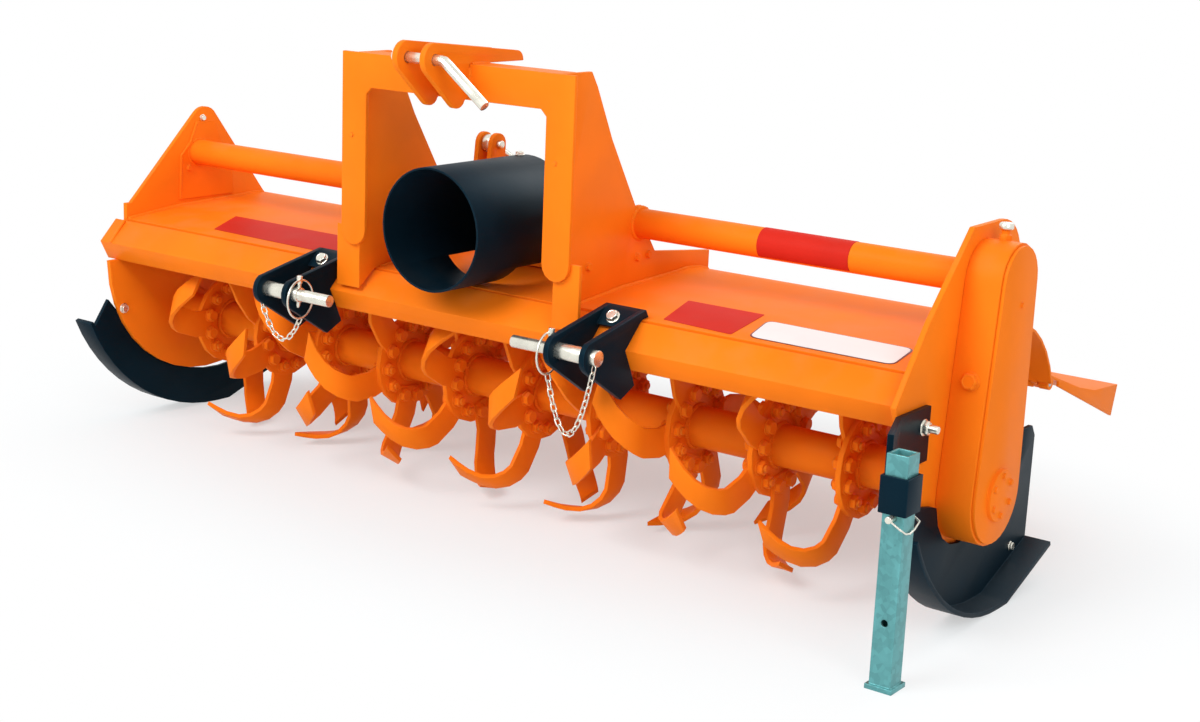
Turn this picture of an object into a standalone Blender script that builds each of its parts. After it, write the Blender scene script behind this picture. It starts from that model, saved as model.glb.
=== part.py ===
"""Rotary tiller for a tractor's three-point hitch, parked on its skids and its stand.

Metres, +Z up. The tractor side looks to -Y and the machine's width runs along X.
The numbers below are taken in the machine's own frame: x = 0 is the middle between
the end plates, y = 0 the front face of the hitch tower and z = 0 the ground. At the
end everything hangs on one empty that puts the origin under the middle of the machine.
"""
import math

import bmesh
import bpy
from mathutils import Matrix, Vector

# Clearances between pieces that touch, and between pieces that turn in each other
SEAT = 0.0003
RUN = 0.0008

# End plates and the side drive case
HALF_WIDTH = 0.918          # inner faces of the end plates
TOWER_X = 0.020             # the hitch tower stands this far off the machine's middle
PLATE_T = 0.010
PLATE_TIP = (0.276, 0.631)  # centre of the left plate's rounded top
PLATE_TIP_R = 0.036
PLATE_SHOULDER = (0.212, 0.658)  # front end of the right plate's broad top
PLATE_CREST = (0.320, 0.579)     # centre of the round that closes that top
PLATE_CREST_R = 0.080
PLATE_NECK = (0.070, 0.478)      # where the left plate's straight front edge meets the beam
PLATE_BROW = (0.078, 0.522)      # bend in the right plate's front edge
PLATE_NOSE = (-0.014, 0.404)     # its foremost point, in front of the beam
PLATE_ARC = (0.275, 0.355)  # centre of the plate's round lower edge
PLATE_ARC_R = 0.265
PLATE_ARC_START = 180.0      # degrees below the arc's centre line, front and rear
PLATE_ARC_END = 41.0
PLATE_FRONT = 0.0
PLATE_REAR = 0.475
CASE_DEPTH = 0.062
CASE_COVER_T = 0.006
CASE_TOP_R = 0.066
CASE_LOW_R = 0.087
CASE_BOSS_R = 0.044
CASE_BOSS_T = 0.008
HUB_R = 0.050               # bearing hubs that reach through the end plates
HUB_PROUD = 0.004
BEARING_R = 0.062
BEARING_T = 0.012
BEARING_CAP_R = 0.042
BEARING_CAP_T = 0.028

# Cross tube, front beam and hood
TUBE = (0.255, 0.5705)
TUBE_R = 0.027
BEAM_TOP = (0.052, 0.443)
BEAM_RIDGE = (0.010, 0.400)
BEAM_LOW = (0.030, 0.362)
BEAM_T = 0.006
BEAM_PROUD = 0.020          # how far the beam reaches past the left end plate
HOOD_T = 0.005
DECK_FRONT = (0.0575, 0.446)
DECK_FOLD = (0.200, 0.459)
DECK_REAR = (0.376, 0.464)
HOOD_ARC_R = 0.220
HOOD_END_ANGLE = 21.3
HOOD_LUG_T = 0.010

# Hitch tower
TOWER_HALF = 0.266
TOWER_T = 0.008
TOWER_TOP = 0.851
TOWER_FLANGE = 0.059
TOWER_BAR = 0.062
TOWER_DEPTH = 0.056
TOWER_STRIP_LOW = 0.496     # lower end of the portal's posts
TOWER_WALL_X = 0.231        # the walls stand behind the middle of the posts
TOWER_WALL_REAR = ((0.090, 0.851), (0.108, 0.824), (0.157, 0.730), (0.194, 0.671), (0.235, 0.607))
TOWER_FOOT = ((0.306, 0.513), (0.491, 0.492))  # top edge of the walls' foot over the deck
SHIN = ((TOWER_WALL_X, 0.284), (0.396, 0.530))  # the strips below the posts, across and upwards
SHIN_T = 0.008

# Upper hitch point
EAR_X = 0.025
EAR_T = 0.012
TOP_PIN = (-0.090, 0.862)
TOP_PIN_R = 0.0095
EAR_NOSE_R = 0.029
EAR_REAR = 0.149
EAR_REAR_R = 0.018
EAR_LOBE = (-0.030, 0.796)
EAR_LOBE_R = 0.020
PIN_PROUD = 0.012           # how far the top pin stands out before its handle bends
PIN_HANDLE = (0.098, -0.068)

# Gearbox, guard and input shaft
INPUT_Z = 0.561
GUARD_R = 0.111
GUARD_T = 0.004
GUARD_FRONT = -0.056
GUARD_RELIEF = 0.001        # the guard's underside is cut away this far above the deck
GUARD_CUT = (0.085, 0.487)  # behind this distance its underside is cut away up to this height
GUARD_NECK_R = 0.068
GEARBOX_FRONT = 0.208
GEARBOX_REAR = 0.352
GEARBOX_HALF = 0.088
GEARBOX_TOP = 0.640
SHAFT_R = 0.0175
SHAFT_FRONT = 0.105

# Lower hitch points
LOWER_PIN = (-0.081, 0.403)
LOWER_X = 0.344
LOWER_HALF_GAP = 0.032
LOWER_T = 0.010
LOWER_NOSE_R = 0.029
LOWER_PIN_R = 0.014
LOWER_TIP_R = 0.011
LOWER_HEAD = 0.010          # how far the pins stand out past the outer and the inner ears
LOWER_STEP = 0.012
LOWER_TIP = 0.086
LOWER_HORN = 0.016          # how far the brackets' ears rise over the deck

# Rotor
ROTOR = (0.238, 0.2235)
ROTOR_TUBE_R = 0.038
ROTOR_R = 0.210
FLANGE_R = 0.094
FLANGE_T = 0.010
FLANGE_COUNT = 10
FLANGE_PITCH = 0.1725 * HALF_WIDTH / 0.918
FLANGE_FIRST = 0.118 - HALF_WIDTH
BLADES_A_SIDE = 3
BLADE_W = 0.055
BLADE_T = 0.008
BLADE_REACH = 0.080
BLADE_BEND = 0.050
BLADE_SWEEP = 34.0
PHASE_STEP = 27.0

# Skids
SKID_T = 0.008
SKID_LEFT_START = -157.0    # where the front tips lie on the skids' curve, in degrees
SKID_RIGHT_START = -152.0
SKID_FLAT = (0.314, 0.350)
SKID_TAIL = (0.520, 0.061)
SKID_R = 0.380
SKID_WEB = 0.080
SKID_LEFT_W = 0.050
SKID_RIGHT_W = 0.056
SKID_HORN = (0.012, 0.277)  # the left web's front corner, up at the end plate
SKID_STRAP = (0.455, 0.516) # the right skid's upright strap behind the drive case
SKID_STRAP_TOP = 0.275
SKID_POST = (0.020, 0.128)  # front corners of the right skid's web
SKID_POST_TOP = 0.238
SKID_SHELF = 0.215

# Parking stand
LEG_SIZE = 0.036
LEG_T = 0.004
LEG_TOP = 0.370
STAND_OUT = 0.066           # from the end plate to the middle of the leg
SLEEVE_GAP = 0.0005
SLEEVE_T = 0.005
SLEEVE_LOW = 0.279
SLEEVE_TOP = 0.337
STAND_Y = -0.110
STAND_PLATE = (-0.012, 0.088)  # bracket's flat on the end plate; in front of it, it bends outward
STAND_PLATE_T = 0.010
STAND_PLATE_LOW = 0.302
STAND_PLATE_TOP = 0.392
FOOT_SIZE = 0.046
FOOT_T = 0.008
STAND_PIN_R = 0.0055
STAND_PIN_PROUD = 0.010
LEG_HOLE = 0.108            # height of the leg's spare hole

# Tailboard and its adjuster
HINGE = (0.634, 0.322)
HINGE_ROD_R = 0.007
KNUCKLE_R = 0.013
BOARD_T = 0.005
BOARD_HALF = HALF_WIDTH - 0.010
HINGE_EARS = (0.025 - BOARD_HALF, -0.300, 0.300, BOARD_HALF - 0.025)
HINGE_GAP = 0.014           # opening in the board round each of the hood's hinge lugs
BOARD_START = (HINGE[0] + 0.004, HINGE[1] + KNUCKLE_R)
BOARD_BEND = (0.778, 0.287)
BOARD_LIP = (0.858, 0.267)
BOARD_TIP = (0.974, 0.257)
BOARD_SIDE_H = 0.060
ADJUSTER_X = -0.107         # the adjuster's middle, from the machine's middle
LUG_PIN = (0.262, 0.676)
LUG_R = 0.021
LUG_FOOT = 0.024
LUG_T = 0.010
LUG_GAP = 0.022
LUG_PIN_R = 0.0075
CLEVIS_PIN = (0.880, 0.328)
CLEVIS_FOOT = 0.026
CLEVIS_R = 0.018
CLEVIS_PIN_R = 0.0065
ADJUSTER_R = 0.010
ADJUSTER_EYE_R = 0.017
SLOT_R = 0.0125             # half the width of the slot in the adjuster's lower eye
SLOT_UP = 0.018             # how far the slot runs past the pin, up and down the rod
SLOT_DOWN = 0.060
SLOT_WALL = 0.0085

BODY = bpy.data.collections.new("rotary_tiller")
CUTTERS = bpy.data.collections.new("cutters")
SIDES = (("left", -1), ("right", 1))
MATERIALS = {
    # name: colour, roughness, metallic
    "orange_paint": ((0.90, 0.19, 0.012), 0.38, 0.0),
    "black_paint": ((0.012, 0.014, 0.020), 0.42, 0.0),
    "zinc_plate": ((0.72, 0.70, 0.58), 0.30, 0.9),
    "galvanised": ((0.42, 0.50, 0.48), 0.42, 0.8),
    "bare_steel": ((0.32, 0.31, 0.30), 0.40, 0.9),
}


def material(name):
    """The Principled material of that name, made on first use."""
    found = bpy.data.materials.get(name)
    if found:
        return found
    colour, roughness, metallic = MATERIALS[name]
    made = bpy.data.materials.new(name)
    made.use_nodes = True
    shader = made.node_tree.nodes["Principled BSDF"]
    shader.inputs["Base Color"].default_value = (*colour, 1.0)
    shader.inputs["Roughness"].default_value = roughness
    shader.inputs["Metallic"].default_value = metallic
    return made


def keep(name, mesh, finish):
    """Link a mesh as one of the machine's pieces."""
    obj = bpy.data.objects.new(name, mesh)
    BODY.objects.link(obj)
    mesh.materials.clear()
    mesh.materials.append(material(finish))
    return obj


def arc(centre, radius, start, end, steps):
    """Points on a circle between two angles in degrees."""
    points = []
    for i in range(steps + 1):
        a = math.radians(start + (end - start) * i / steps)
        points.append((centre[0] + radius * math.cos(a), centre[1] + radius * math.sin(a)))
    return points


def hole(centre, radius, sides):
    """Polygon round a circle, so a round bar of that radius fits inside its flats."""
    return arc(centre, radius / math.cos(math.pi / sides), 0, 360 - 360 / sides, sides - 1)


def strip(line, thickness):
    """Closed outline of a folded sheet: the line is its outer face, the sheet lies to its right."""
    offset = []
    for i, point in enumerate(line):
        here = Vector(point)
        before = (here - Vector(line[i - 1])).normalized() if i else None
        after = (Vector(line[i + 1]) - here).normalized() if i + 1 < len(line) else None
        one = before or after
        two = after or before
        normal = Vector((one.y + two.y, -one.x - two.x)).normalized()
        stretch = thickness / max(0.2, normal.dot(Vector((one.y, -one.x))))
        offset.append(tuple(here + normal * stretch))
    return list(line) + offset[::-1]


AXES = {
    # plane of the outline: local x, local y and extrusion in the machine's frame
    "YZ": ((0, 1, 0), (0, 0, 1), (1, 0, 0)),
    "XZ": ((1, 0, 0), (0, 0, 1), (0, -1, 0)),
    "XY": ((1, 0, 0), (0, 1, 0), (0, 0, 1)),
}


def plate_mesh(outlines, low, high, plane="YZ"):
    """Mesh of a flat piece: outlines in a plane, the first the edge and the rest holes."""
    curve = bpy.data.curves.new("outline", "CURVE")
    curve.dimensions = "2D"
    curve.fill_mode = "BOTH"
    curve.extrude = abs(high - low) / 2
    for outline in outlines:
        spline = curve.splines.new("POLY")
        spline.points.add(len(outline) - 1)
        for point, (u, v) in zip(spline.points, outline):
            point.co = (u, v, 0.0, 1.0)
        spline.use_cyclic_u = True
    guide = bpy.data.objects.new("outline", curve)
    bpy.context.scene.collection.objects.link(guide)
    bpy.context.view_layer.update()
    graph = bpy.context.evaluated_depsgraph_get()
    mesh = bpy.data.meshes.new_from_object(guide.evaluated_get(graph))
    bpy.data.objects.remove(guide)
    bpy.data.curves.remove(curve)
    edges = [Vector(a) for a in AXES[plane]]
    turn = Matrix((edges[0], edges[1], edges[2])).transposed().to_4x4()
    middle = Vector([abs(c) for c in edges[2]]) * (low + high) / 2
    mesh.transform(Matrix.Translation(middle) @ turn)
    welded = bmesh.new()
    welded.from_mesh(mesh)
    bmesh.ops.remove_doubles(welded, verts=welded.verts, dist=1e-6)
    bmesh.ops.recalc_face_normals(welded, faces=welded.faces)
    welded.to_mesh(mesh)
    welded.free()
    return mesh


def flat(name, outlines, low, high, finish, plane="YZ"):
    """A flat piece cut to an outline."""
    return keep(name, plate_mesh(outlines, low, high, plane), finish)


def rod_mesh(start, end, radius, sides=24, end_radius=None):
    """Mesh of a round bar between two points."""
    start, end = Vector(start), Vector(end)
    span = end - start
    made = bmesh.new()
    bmesh.ops.create_cone(made, cap_ends=True, segments=sides, radius1=radius,
                          radius2=radius if end_radius is None else end_radius,
                          depth=span.length)
    turn = Vector((0, 0, 1)).rotation_difference(span).to_matrix().to_4x4()
    bmesh.ops.transform(made, matrix=Matrix.Translation((start + end) / 2) @ turn,
                        verts=made.verts)
    mesh = bpy.data.meshes.new("rod")
    made.to_mesh(mesh)
    made.free()
    return mesh


def rod(name, start, end, radius, finish, sides=24, end_radius=None):
    """A round bar between two points."""
    obj = keep(name, rod_mesh(start, end, radius, sides, end_radius), finish)
    obj.data.shade_smooth()
    obj.data.set_sharp_from_angle(angle=math.radians(35))
    return obj


def box_mesh(low, high):
    """Mesh of a box between two corners."""
    made = bmesh.new()
    bmesh.ops.create_cube(made, size=1.0)
    low, high = Vector(low), Vector(high)
    size = high - low
    bmesh.ops.scale(made, vec=size, verts=made.verts)
    bmesh.ops.translate(made, vec=(low + high) / 2, verts=made.verts)
    mesh = bpy.data.meshes.new("box")
    made.to_mesh(mesh)
    made.free()
    return mesh


def box(name, low, high, finish):
    """A rectangular piece between two corners."""
    return keep(name, box_mesh(low, high), finish)


def boolean(obj, mesh, operation):
    """Add or take away a shape, and keep the result as the piece's mesh."""
    other = bpy.data.objects.new("tool", mesh)
    CUTTERS.objects.link(other)
    other.hide_render = True
    other.display_type = "WIRE"
    change = obj.modifiers.new("shape", "BOOLEAN")
    change.operation = operation
    change.solver = "EXACT"
    change.object = other
    bpy.context.view_layer.update()
    graph = bpy.context.evaluated_depsgraph_get()
    result = bpy.data.meshes.new_from_object(obj.evaluated_get(graph))
    obj.modifiers.remove(change)
    finish = obj.data.materials[0]
    obj.data = result
    result.materials.clear()
    result.materials.append(finish)
    bpy.data.objects.remove(other)


def add(obj, *meshes):
    """Weld shapes to a piece."""
    for mesh in meshes:
        boolean(obj, mesh, "UNION")


def cut(obj, *meshes):
    """Cut shapes out of a piece."""
    for mesh in meshes:
        boolean(obj, mesh, "DIFFERENCE")


def bar_x(centre, x_low, x_high, radius, sides=24):
    """Round bar along the width, at a (y, z) centre."""
    return rod_mesh((x_low, *centre), (x_high, *centre), radius, sides)


def end_plate_outline(side):
    """Side view of an end plate: its top, the front edge, the round below and the rear edge."""
    if side == "left":
        points = arc(PLATE_TIP, PLATE_TIP_R, 45, 135, 6)
        points += [PLATE_NECK, (BEAM_TOP[0] - 0.010, PLATE_NECK[1])]
        points += [(PLATE_FRONT, BEAM_RIDGE[1] + 0.022)]
    else:
        points = arc(PLATE_CREST, PLATE_CREST_R, 25, 90, 6)
        points += [PLATE_SHOULDER, PLATE_BROW, PLATE_NOSE]
    points += arc(PLATE_ARC, PLATE_ARC_R, -PLATE_ARC_START, -PLATE_ARC_END, 14)
    points += [(PLATE_REAR, BEAM_LOW[1] + 0.070)]
    return points


def beam_line():
    """Folded outer face of the front beam, lower edge to top."""
    return [BEAM_LOW, BEAM_RIDGE, BEAM_TOP]


def end_plates():
    """The two end plates, the left one's front edge behind the beam."""
    opening = hole(ROTOR, HUB_R + SEAT, 24)
    behind = strip(beam_line(), BEAM_T + SEAT)[3:]
    below = BEAM_LOW[1] - SEAT * 2
    above = PLATE_NECK[1] + 0.010
    notch = [(-0.050, above), (behind[0][0], above)] + behind
    notch += [(behind[2][0], below), (-0.050, below)]
    for side, sign in SIDES:
        low, high = sorted((sign * HALF_WIDTH, sign * (HALF_WIDTH + PLATE_T)))
        plate = flat("end_plate_" + side, [end_plate_outline(side), opening], low, high,
                     "orange_paint")
        if side == "left":
            cut(plate, plate_mesh([notch], low - 0.001, high + 0.001))


def case_outline(grow=0.0):
    """Side view of the drive case: two circles and their common tangents."""
    top = (TUBE[0], TUBE[1])
    low = ROTOR
    r_top = CASE_TOP_R + grow
    r_low = CASE_LOW_R + grow
    span = math.hypot(top[0] - low[0], top[1] - low[1])
    lean = math.degrees(math.asin((r_low - r_top) / span))
    tilt = math.degrees(math.atan2(top[0] - low[0], top[1] - low[1]))
    points = arc(top, r_top, lean - tilt, 180 - lean - tilt, 12)
    points += arc(low, r_low, 180 - lean - tilt, 360 + lean - tilt, 16)
    return points


def drive_case():
    inner = HALF_WIDTH + PLATE_T + SEAT
    outer = inner + CASE_DEPTH
    case = flat("drive_case", [case_outline()], inner, outer, "orange_paint")
    add(case, bar_x(ROTOR, HALF_WIDTH - HUB_PROUD, inner + 0.001, HUB_R, 24))
    cover = flat("drive_case_cover", [case_outline(-0.004)], outer + SEAT,
                 outer + SEAT + CASE_COVER_T, "orange_paint")
    face = outer + SEAT + CASE_COVER_T
    add(cover, bar_x(ROTOR, face - 0.002, face + CASE_BOSS_T, CASE_BOSS_R, 32))
    bearing = rod("rotor_bearing_left", (-inner, *ROTOR), (-inner - BEARING_T, *ROTOR),
                  BEARING_R, "orange_paint")
    add(bearing, bar_x(ROTOR, -inner - 0.001, HUB_PROUD - HALF_WIDTH, HUB_R, 24),
        bar_x(ROTOR, -inner - BEARING_CAP_T - BEARING_T, 0.001 - inner - BEARING_T,
              BEARING_CAP_R, 24))


def frame_members():
    reach = HALF_WIDTH - SEAT
    end = HALF_WIDTH + PLATE_T + BEAM_PROUD
    beam = flat("front_beam", [strip(beam_line(), BEAM_T)], -end, reach, "orange_paint")
    cap = beam_line() + [(BEAM_TOP[0] + 0.010, BEAM_LOW[1] + 0.010)]
    add(beam, plate_mesh([cap], -end, BEAM_T - end))
    line = hood_line()
    hood = flat("hood", [strip(line, HOOD_T)], -reach, reach, "orange_paint")
    end = line[-1]
    for x in HINGE_EARS:
        lug = [(end[0] - 0.0042, end[1] - 0.004)] + arc(HINGE, KNUCKLE_R, -80, 60, 7)
        lug += [(end[0] - 0.012, end[1] + 0.050)]
        add(hood, plate_mesh([lug], x - HOOD_LUG_T / 2, x + HOOD_LUG_T / 2))
    cut(hood, bar_x(HINGE, -HALF_WIDTH, HALF_WIDTH, HINGE_ROD_R + SEAT * 3, 16))
    for side, sign in SIDES:
        low, high = sorted((TOWER_X + sign * (GEARBOX_HALF + SEAT), sign * reach))
        rod("cross_tube_" + side, (low, *TUBE), (high, *TUBE), TUBE_R, "orange_paint", 32)


def height_on(points, y):
    """Height of a folded line at a distance from the front."""
    for (y0, z0), (y1, z1) in zip(points, points[1:]):
        if y <= y1:
            return z0 + (z1 - z0) * (y - y0) / (y1 - y0)
    return points[-1][1]


def hood_height(y):
    """Top of the deck at a distance from the front."""
    return height_on([BEAM_TOP] + hood_line(), y)


def hood_line():
    """Outer face of the hood, from the beam over the deck and down to the hinge."""
    centre = (DECK_REAR[0] + 0.038, DECK_REAR[1] - HOOD_ARC_R + 0.004)
    start = math.degrees(math.atan2(DECK_REAR[1] - centre[1], DECK_REAR[0] - centre[0]))
    radius = math.hypot(DECK_REAR[1] - centre[1], DECK_REAR[0] - centre[0])
    return [DECK_FRONT, DECK_FOLD] + arc(centre, radius, start, HOOD_END_ANGLE, 8)


def board_height(y):
    """Top of the tailboard at a distance from the front."""
    return height_on([BOARD_START, BOARD_BEND, BOARD_LIP, BOARD_TIP], y)


def hitch_tower():
    half = TOWER_HALF
    inner = half - TOWER_FLANGE
    bar = TOWER_TOP - TOWER_BAR
    low = TOWER_STRIP_LOW
    middle = half - TOWER_FLANGE / 2
    foot = arc((-middle, low + TOWER_FLANGE / 2), TOWER_FLANGE / 2, 180, 360, 8)
    outline = foot + [(-inner, bar - 0.012), (-inner + 0.012, bar),
                      (inner - 0.012, bar), (inner, bar - 0.012)]
    outline += [(u + 2 * middle, v) for u, v in foot] + [(half, TOWER_TOP), (-half, TOWER_TOP)]
    portal = flat("hitch_portal", [outline], 0.0, TOWER_T, "orange_paint", "XZ")
    inside = TOWER_WALL_X - TOWER_T / 2 - SEAT
    add(portal, box_mesh((-inside, TOWER_T - 0.001, TOWER_TOP - TOWER_T),
                         (inside, TOWER_DEPTH, TOWER_TOP)))
    start = TOWER_T + SEAT
    side = [(start, TOWER_TOP)] + list(TOWER_WALL_REAR) + list(TOWER_FOOT)
    rear = TOWER_FOOT[-1][0]
    deck = [p for p in hood_line() if DECK_FRONT[0] + 0.002 < p[0] < rear]
    for y in [rear] + [p[0] for p in deck][::-1] + [DECK_FRONT[0] + 0.002]:
        side.append((y, hood_height(y) + SEAT))
    side.append((BEAM_TOP[0] + 0.0005, BEAM_TOP[1] + 0.004))
    side.append((start, BEAM_RIDGE[1] + 0.012))
    for name, sign in SIDES:
        edges = [sign * TOWER_WALL_X - TOWER_T / 2, sign * TOWER_WALL_X + TOWER_T / 2]
        wall = flat("tower_wall_" + name, [side[::-1]], edges[0], edges[1], "orange_paint")
        cut(wall, bar_x(TUBE, -half, half, TUBE_R + SEAT, 32))
        across = sorted((sign * SHIN[0][0], sign * SHIN[0][1]))
        shin = box_mesh((across[0], start, SHIN[1][0]), (across[1], start + SHIN_T, SHIN[1][1]))
        add(wall, shin)
        beam = beam_line()
        clear = [(start - 0.004, BEAM_RIDGE[1] + 0.010), (beam[2][0] - 0.002, beam[2][1] + 0.002)]
        clear += [(rear, beam[2][1] + 0.002), (rear, SHIN[1][0] - 0.010)]
        clear += [(start - 0.004, SHIN[1][0] - 0.010)]
        cut(wall, plate_mesh([clear], across[0] - TOWER_T, across[1] + TOWER_T))


def top_pin_route():
    """Middle line of the top pin: through both ears, then down along its handle."""
    reach = EAR_X + EAR_T
    knee = Vector((reach + PIN_PROUD, *TOP_PIN))
    handle = Vector((PIN_HANDLE[0], 0.0, PIN_HANDLE[1]))
    turn = handle.normalized() * 0.010
    return [(-reach - 0.020, *TOP_PIN), tuple(knee), tuple(knee + Vector((0.008, 0, -0.0015))),
            tuple(knee + Vector((0.008, 0, -0.0015)) + turn), tuple(knee + handle)]


def upper_hitch():
    seat_y = -SEAT
    seat_z = TOWER_TOP + SEAT
    outline = arc(TOP_PIN, EAR_NOSE_R, 95, 228, 10)
    outline += arc(EAR_LOBE, EAR_LOBE_R, 225, 340, 6)
    outline += [(seat_y, EAR_LOBE[1]), (seat_y, seat_z), (EAR_REAR, seat_z)]
    outline += arc((EAR_REAR - EAR_REAR_R, seat_z + 0.001), EAR_REAR_R, 5, 82, 5)
    for name, sign in SIDES:
        edges = sorted((sign * EAR_X, sign * (EAR_X + EAR_T)))
        eye = hole(TOP_PIN, TOP_PIN_R + SEAT, 16)
        flat("top_link_ear_" + name, [outline, eye], edges[0], edges[1], "orange_paint")
    curve = bpy.data.curves.new("top_link_pin", "CURVE")
    curve.dimensions = "3D"
    curve.bevel_depth = TOP_PIN_R
    curve.bevel_resolution = 3
    curve.use_fill_caps = True
    route = top_pin_route()
    spline = curve.splines.new("POLY")
    spline.points.add(len(route) - 1)
    for point, place in zip(spline.points, route):
        point.co = (*place, 1.0)
    guide = bpy.data.objects.new("pin_route", curve)
    bpy.context.scene.collection.objects.link(guide)
    bpy.context.view_layer.update()
    graph = bpy.context.evaluated_depsgraph_get()
    mesh = bpy.data.meshes.new_from_object(guide.evaluated_get(graph))
    bpy.data.objects.remove(guide)
    welded = bmesh.new()
    welded.from_mesh(mesh)
    bmesh.ops.remove_doubles(welded, verts=welded.verts, dist=1e-6)
    welded.to_mesh(mesh)
    welded.free()
    keep("top_link_pin", mesh, "zinc_plate")


def driveline():
    body = box("gearbox", (-GEARBOX_HALF, GEARBOX_FRONT + 0.012, hood_height(GEARBOX_REAR) + SEAT),
               (GEARBOX_HALF, GEARBOX_REAR, GEARBOX_TOP), "orange_paint")
    add(body, rod_mesh((0, GEARBOX_FRONT, INPUT_Z), (0, GEARBOX_FRONT + 0.02, INPUT_Z),
                       GUARD_NECK_R, 32))
    cut(body, rod_mesh((0, 0, INPUT_Z), (0, GEARBOX_FRONT + 0.014, INPUT_Z), SHAFT_R + 0.004, 24))
    rod("input_shaft", (0, SHAFT_FRONT, INPUT_Z), (0, GEARBOX_FRONT + 0.0135, INPUT_Z),
        SHAFT_R, "bare_steel", 24)
    guard = rod("pto_guard", (0, GUARD_FRONT, INPUT_Z), (0, GEARBOX_FRONT + 0.0117, INPUT_Z),
                GUARD_R, "black_paint", 48)
    cut(guard, rod_mesh((0, GUARD_FRONT - 0.1, INPUT_Z), (0, GEARBOX_FRONT - 0.002, INPUT_Z),
                        GUARD_R - GUARD_T, 48),
        rod_mesh((0, 0, INPUT_Z), (0, GEARBOX_REAR, INPUT_Z), GUARD_NECK_R + SEAT, 32))
    relief = [(y, hood_height(y) + GUARD_RELIEF) for y in (BEAM_TOP[0] + 0.004, GUARD_CUT[0])]
    relief += [(GUARD_CUT[0] + 0.004, GUARD_CUT[1]), (GEARBOX_REAR, GUARD_CUT[1]),
               (GEARBOX_REAR, BEAM_LOW[1]), (BEAM_TOP[0] + 0.004, BEAM_LOW[1])]
    cut(guard, plate_mesh([relief], -GUARD_R - 0.01, GUARD_R + 0.01))


def lower_bracket(name, sign):
    """Folded clevis clamped over the front beam, its ears in front of the ridge."""
    ridge = BEAM_RIDGE
    grip = 0.001
    ear = arc(LOWER_PIN, LOWER_NOSE_R, 120, 235, 7)
    ear += [(BEAM_LOW[0] - 0.028, BEAM_LOW[1] - 0.046), (BEAM_LOW[0] + 0.010, BEAM_LOW[1] - 0.028)]
    ear += [(BEAM_LOW[0] - 0.002, BEAM_LOW[1] - grip)]
    ear += [(ridge[0] - grip * 1.6, ridge[1])]
    ear += [(BEAM_TOP[0] - 0.002, BEAM_TOP[1] + grip * 1.2 - 0.0015)]
    ear += [(DECK_FRONT[0] - 0.001, DECK_FRONT[1] + grip)]
    ear += [(DECK_FRONT[0] + 0.016, hood_height(DECK_FRONT[0] + 0.016) + grip)]
    ear += [(DECK_FRONT[0] + 0.008, hood_height(DECK_FRONT[0]) + LOWER_HORN)]
    x = sign * LOWER_X
    eye = hole(LOWER_PIN, LOWER_PIN_R + SEAT, 20)
    inner = plate_mesh([ear, eye], x - LOWER_HALF_GAP - LOWER_T, x - LOWER_HALF_GAP)
    obj = keep(name, inner, "black_paint")
    add(obj, plate_mesh([ear, eye], x + LOWER_HALF_GAP, x + LOWER_HALF_GAP + LOWER_T))
    web = strip([(BEAM_TOP[0] - 0.022, BEAM_TOP[1] - 0.014), (BEAM_TOP[0] + 0.001, BEAM_TOP[1] + 0.010),
                 (DECK_FRONT[0] + 0.010, hood_height(DECK_FRONT[0]) + 0.010)], -0.006)
    add(obj, plate_mesh([web], x - LOWER_HALF_GAP - LOWER_T / 2, x + LOWER_HALF_GAP + LOWER_T / 2))


def lower_hitch():
    for side, sign in SIDES:
        lower_bracket("lower_bracket_" + side, sign)
        x = sign * LOWER_X
        ear = LOWER_HALF_GAP + LOWER_T
        pin = rod("lower_pin_" + side, (x - sign * (ear + LOWER_STEP), *LOWER_PIN),
                  (x + sign * (ear + LOWER_HEAD), *LOWER_PIN), LOWER_PIN_R, "zinc_plate")
        ends = sorted((x - sign * (ear + LOWER_STEP - 0.002), x - sign * (ear + LOWER_TIP)))
        add(pin, bar_x(LOWER_PIN, ends[0], ends[1], LOWER_TIP_R))


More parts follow.
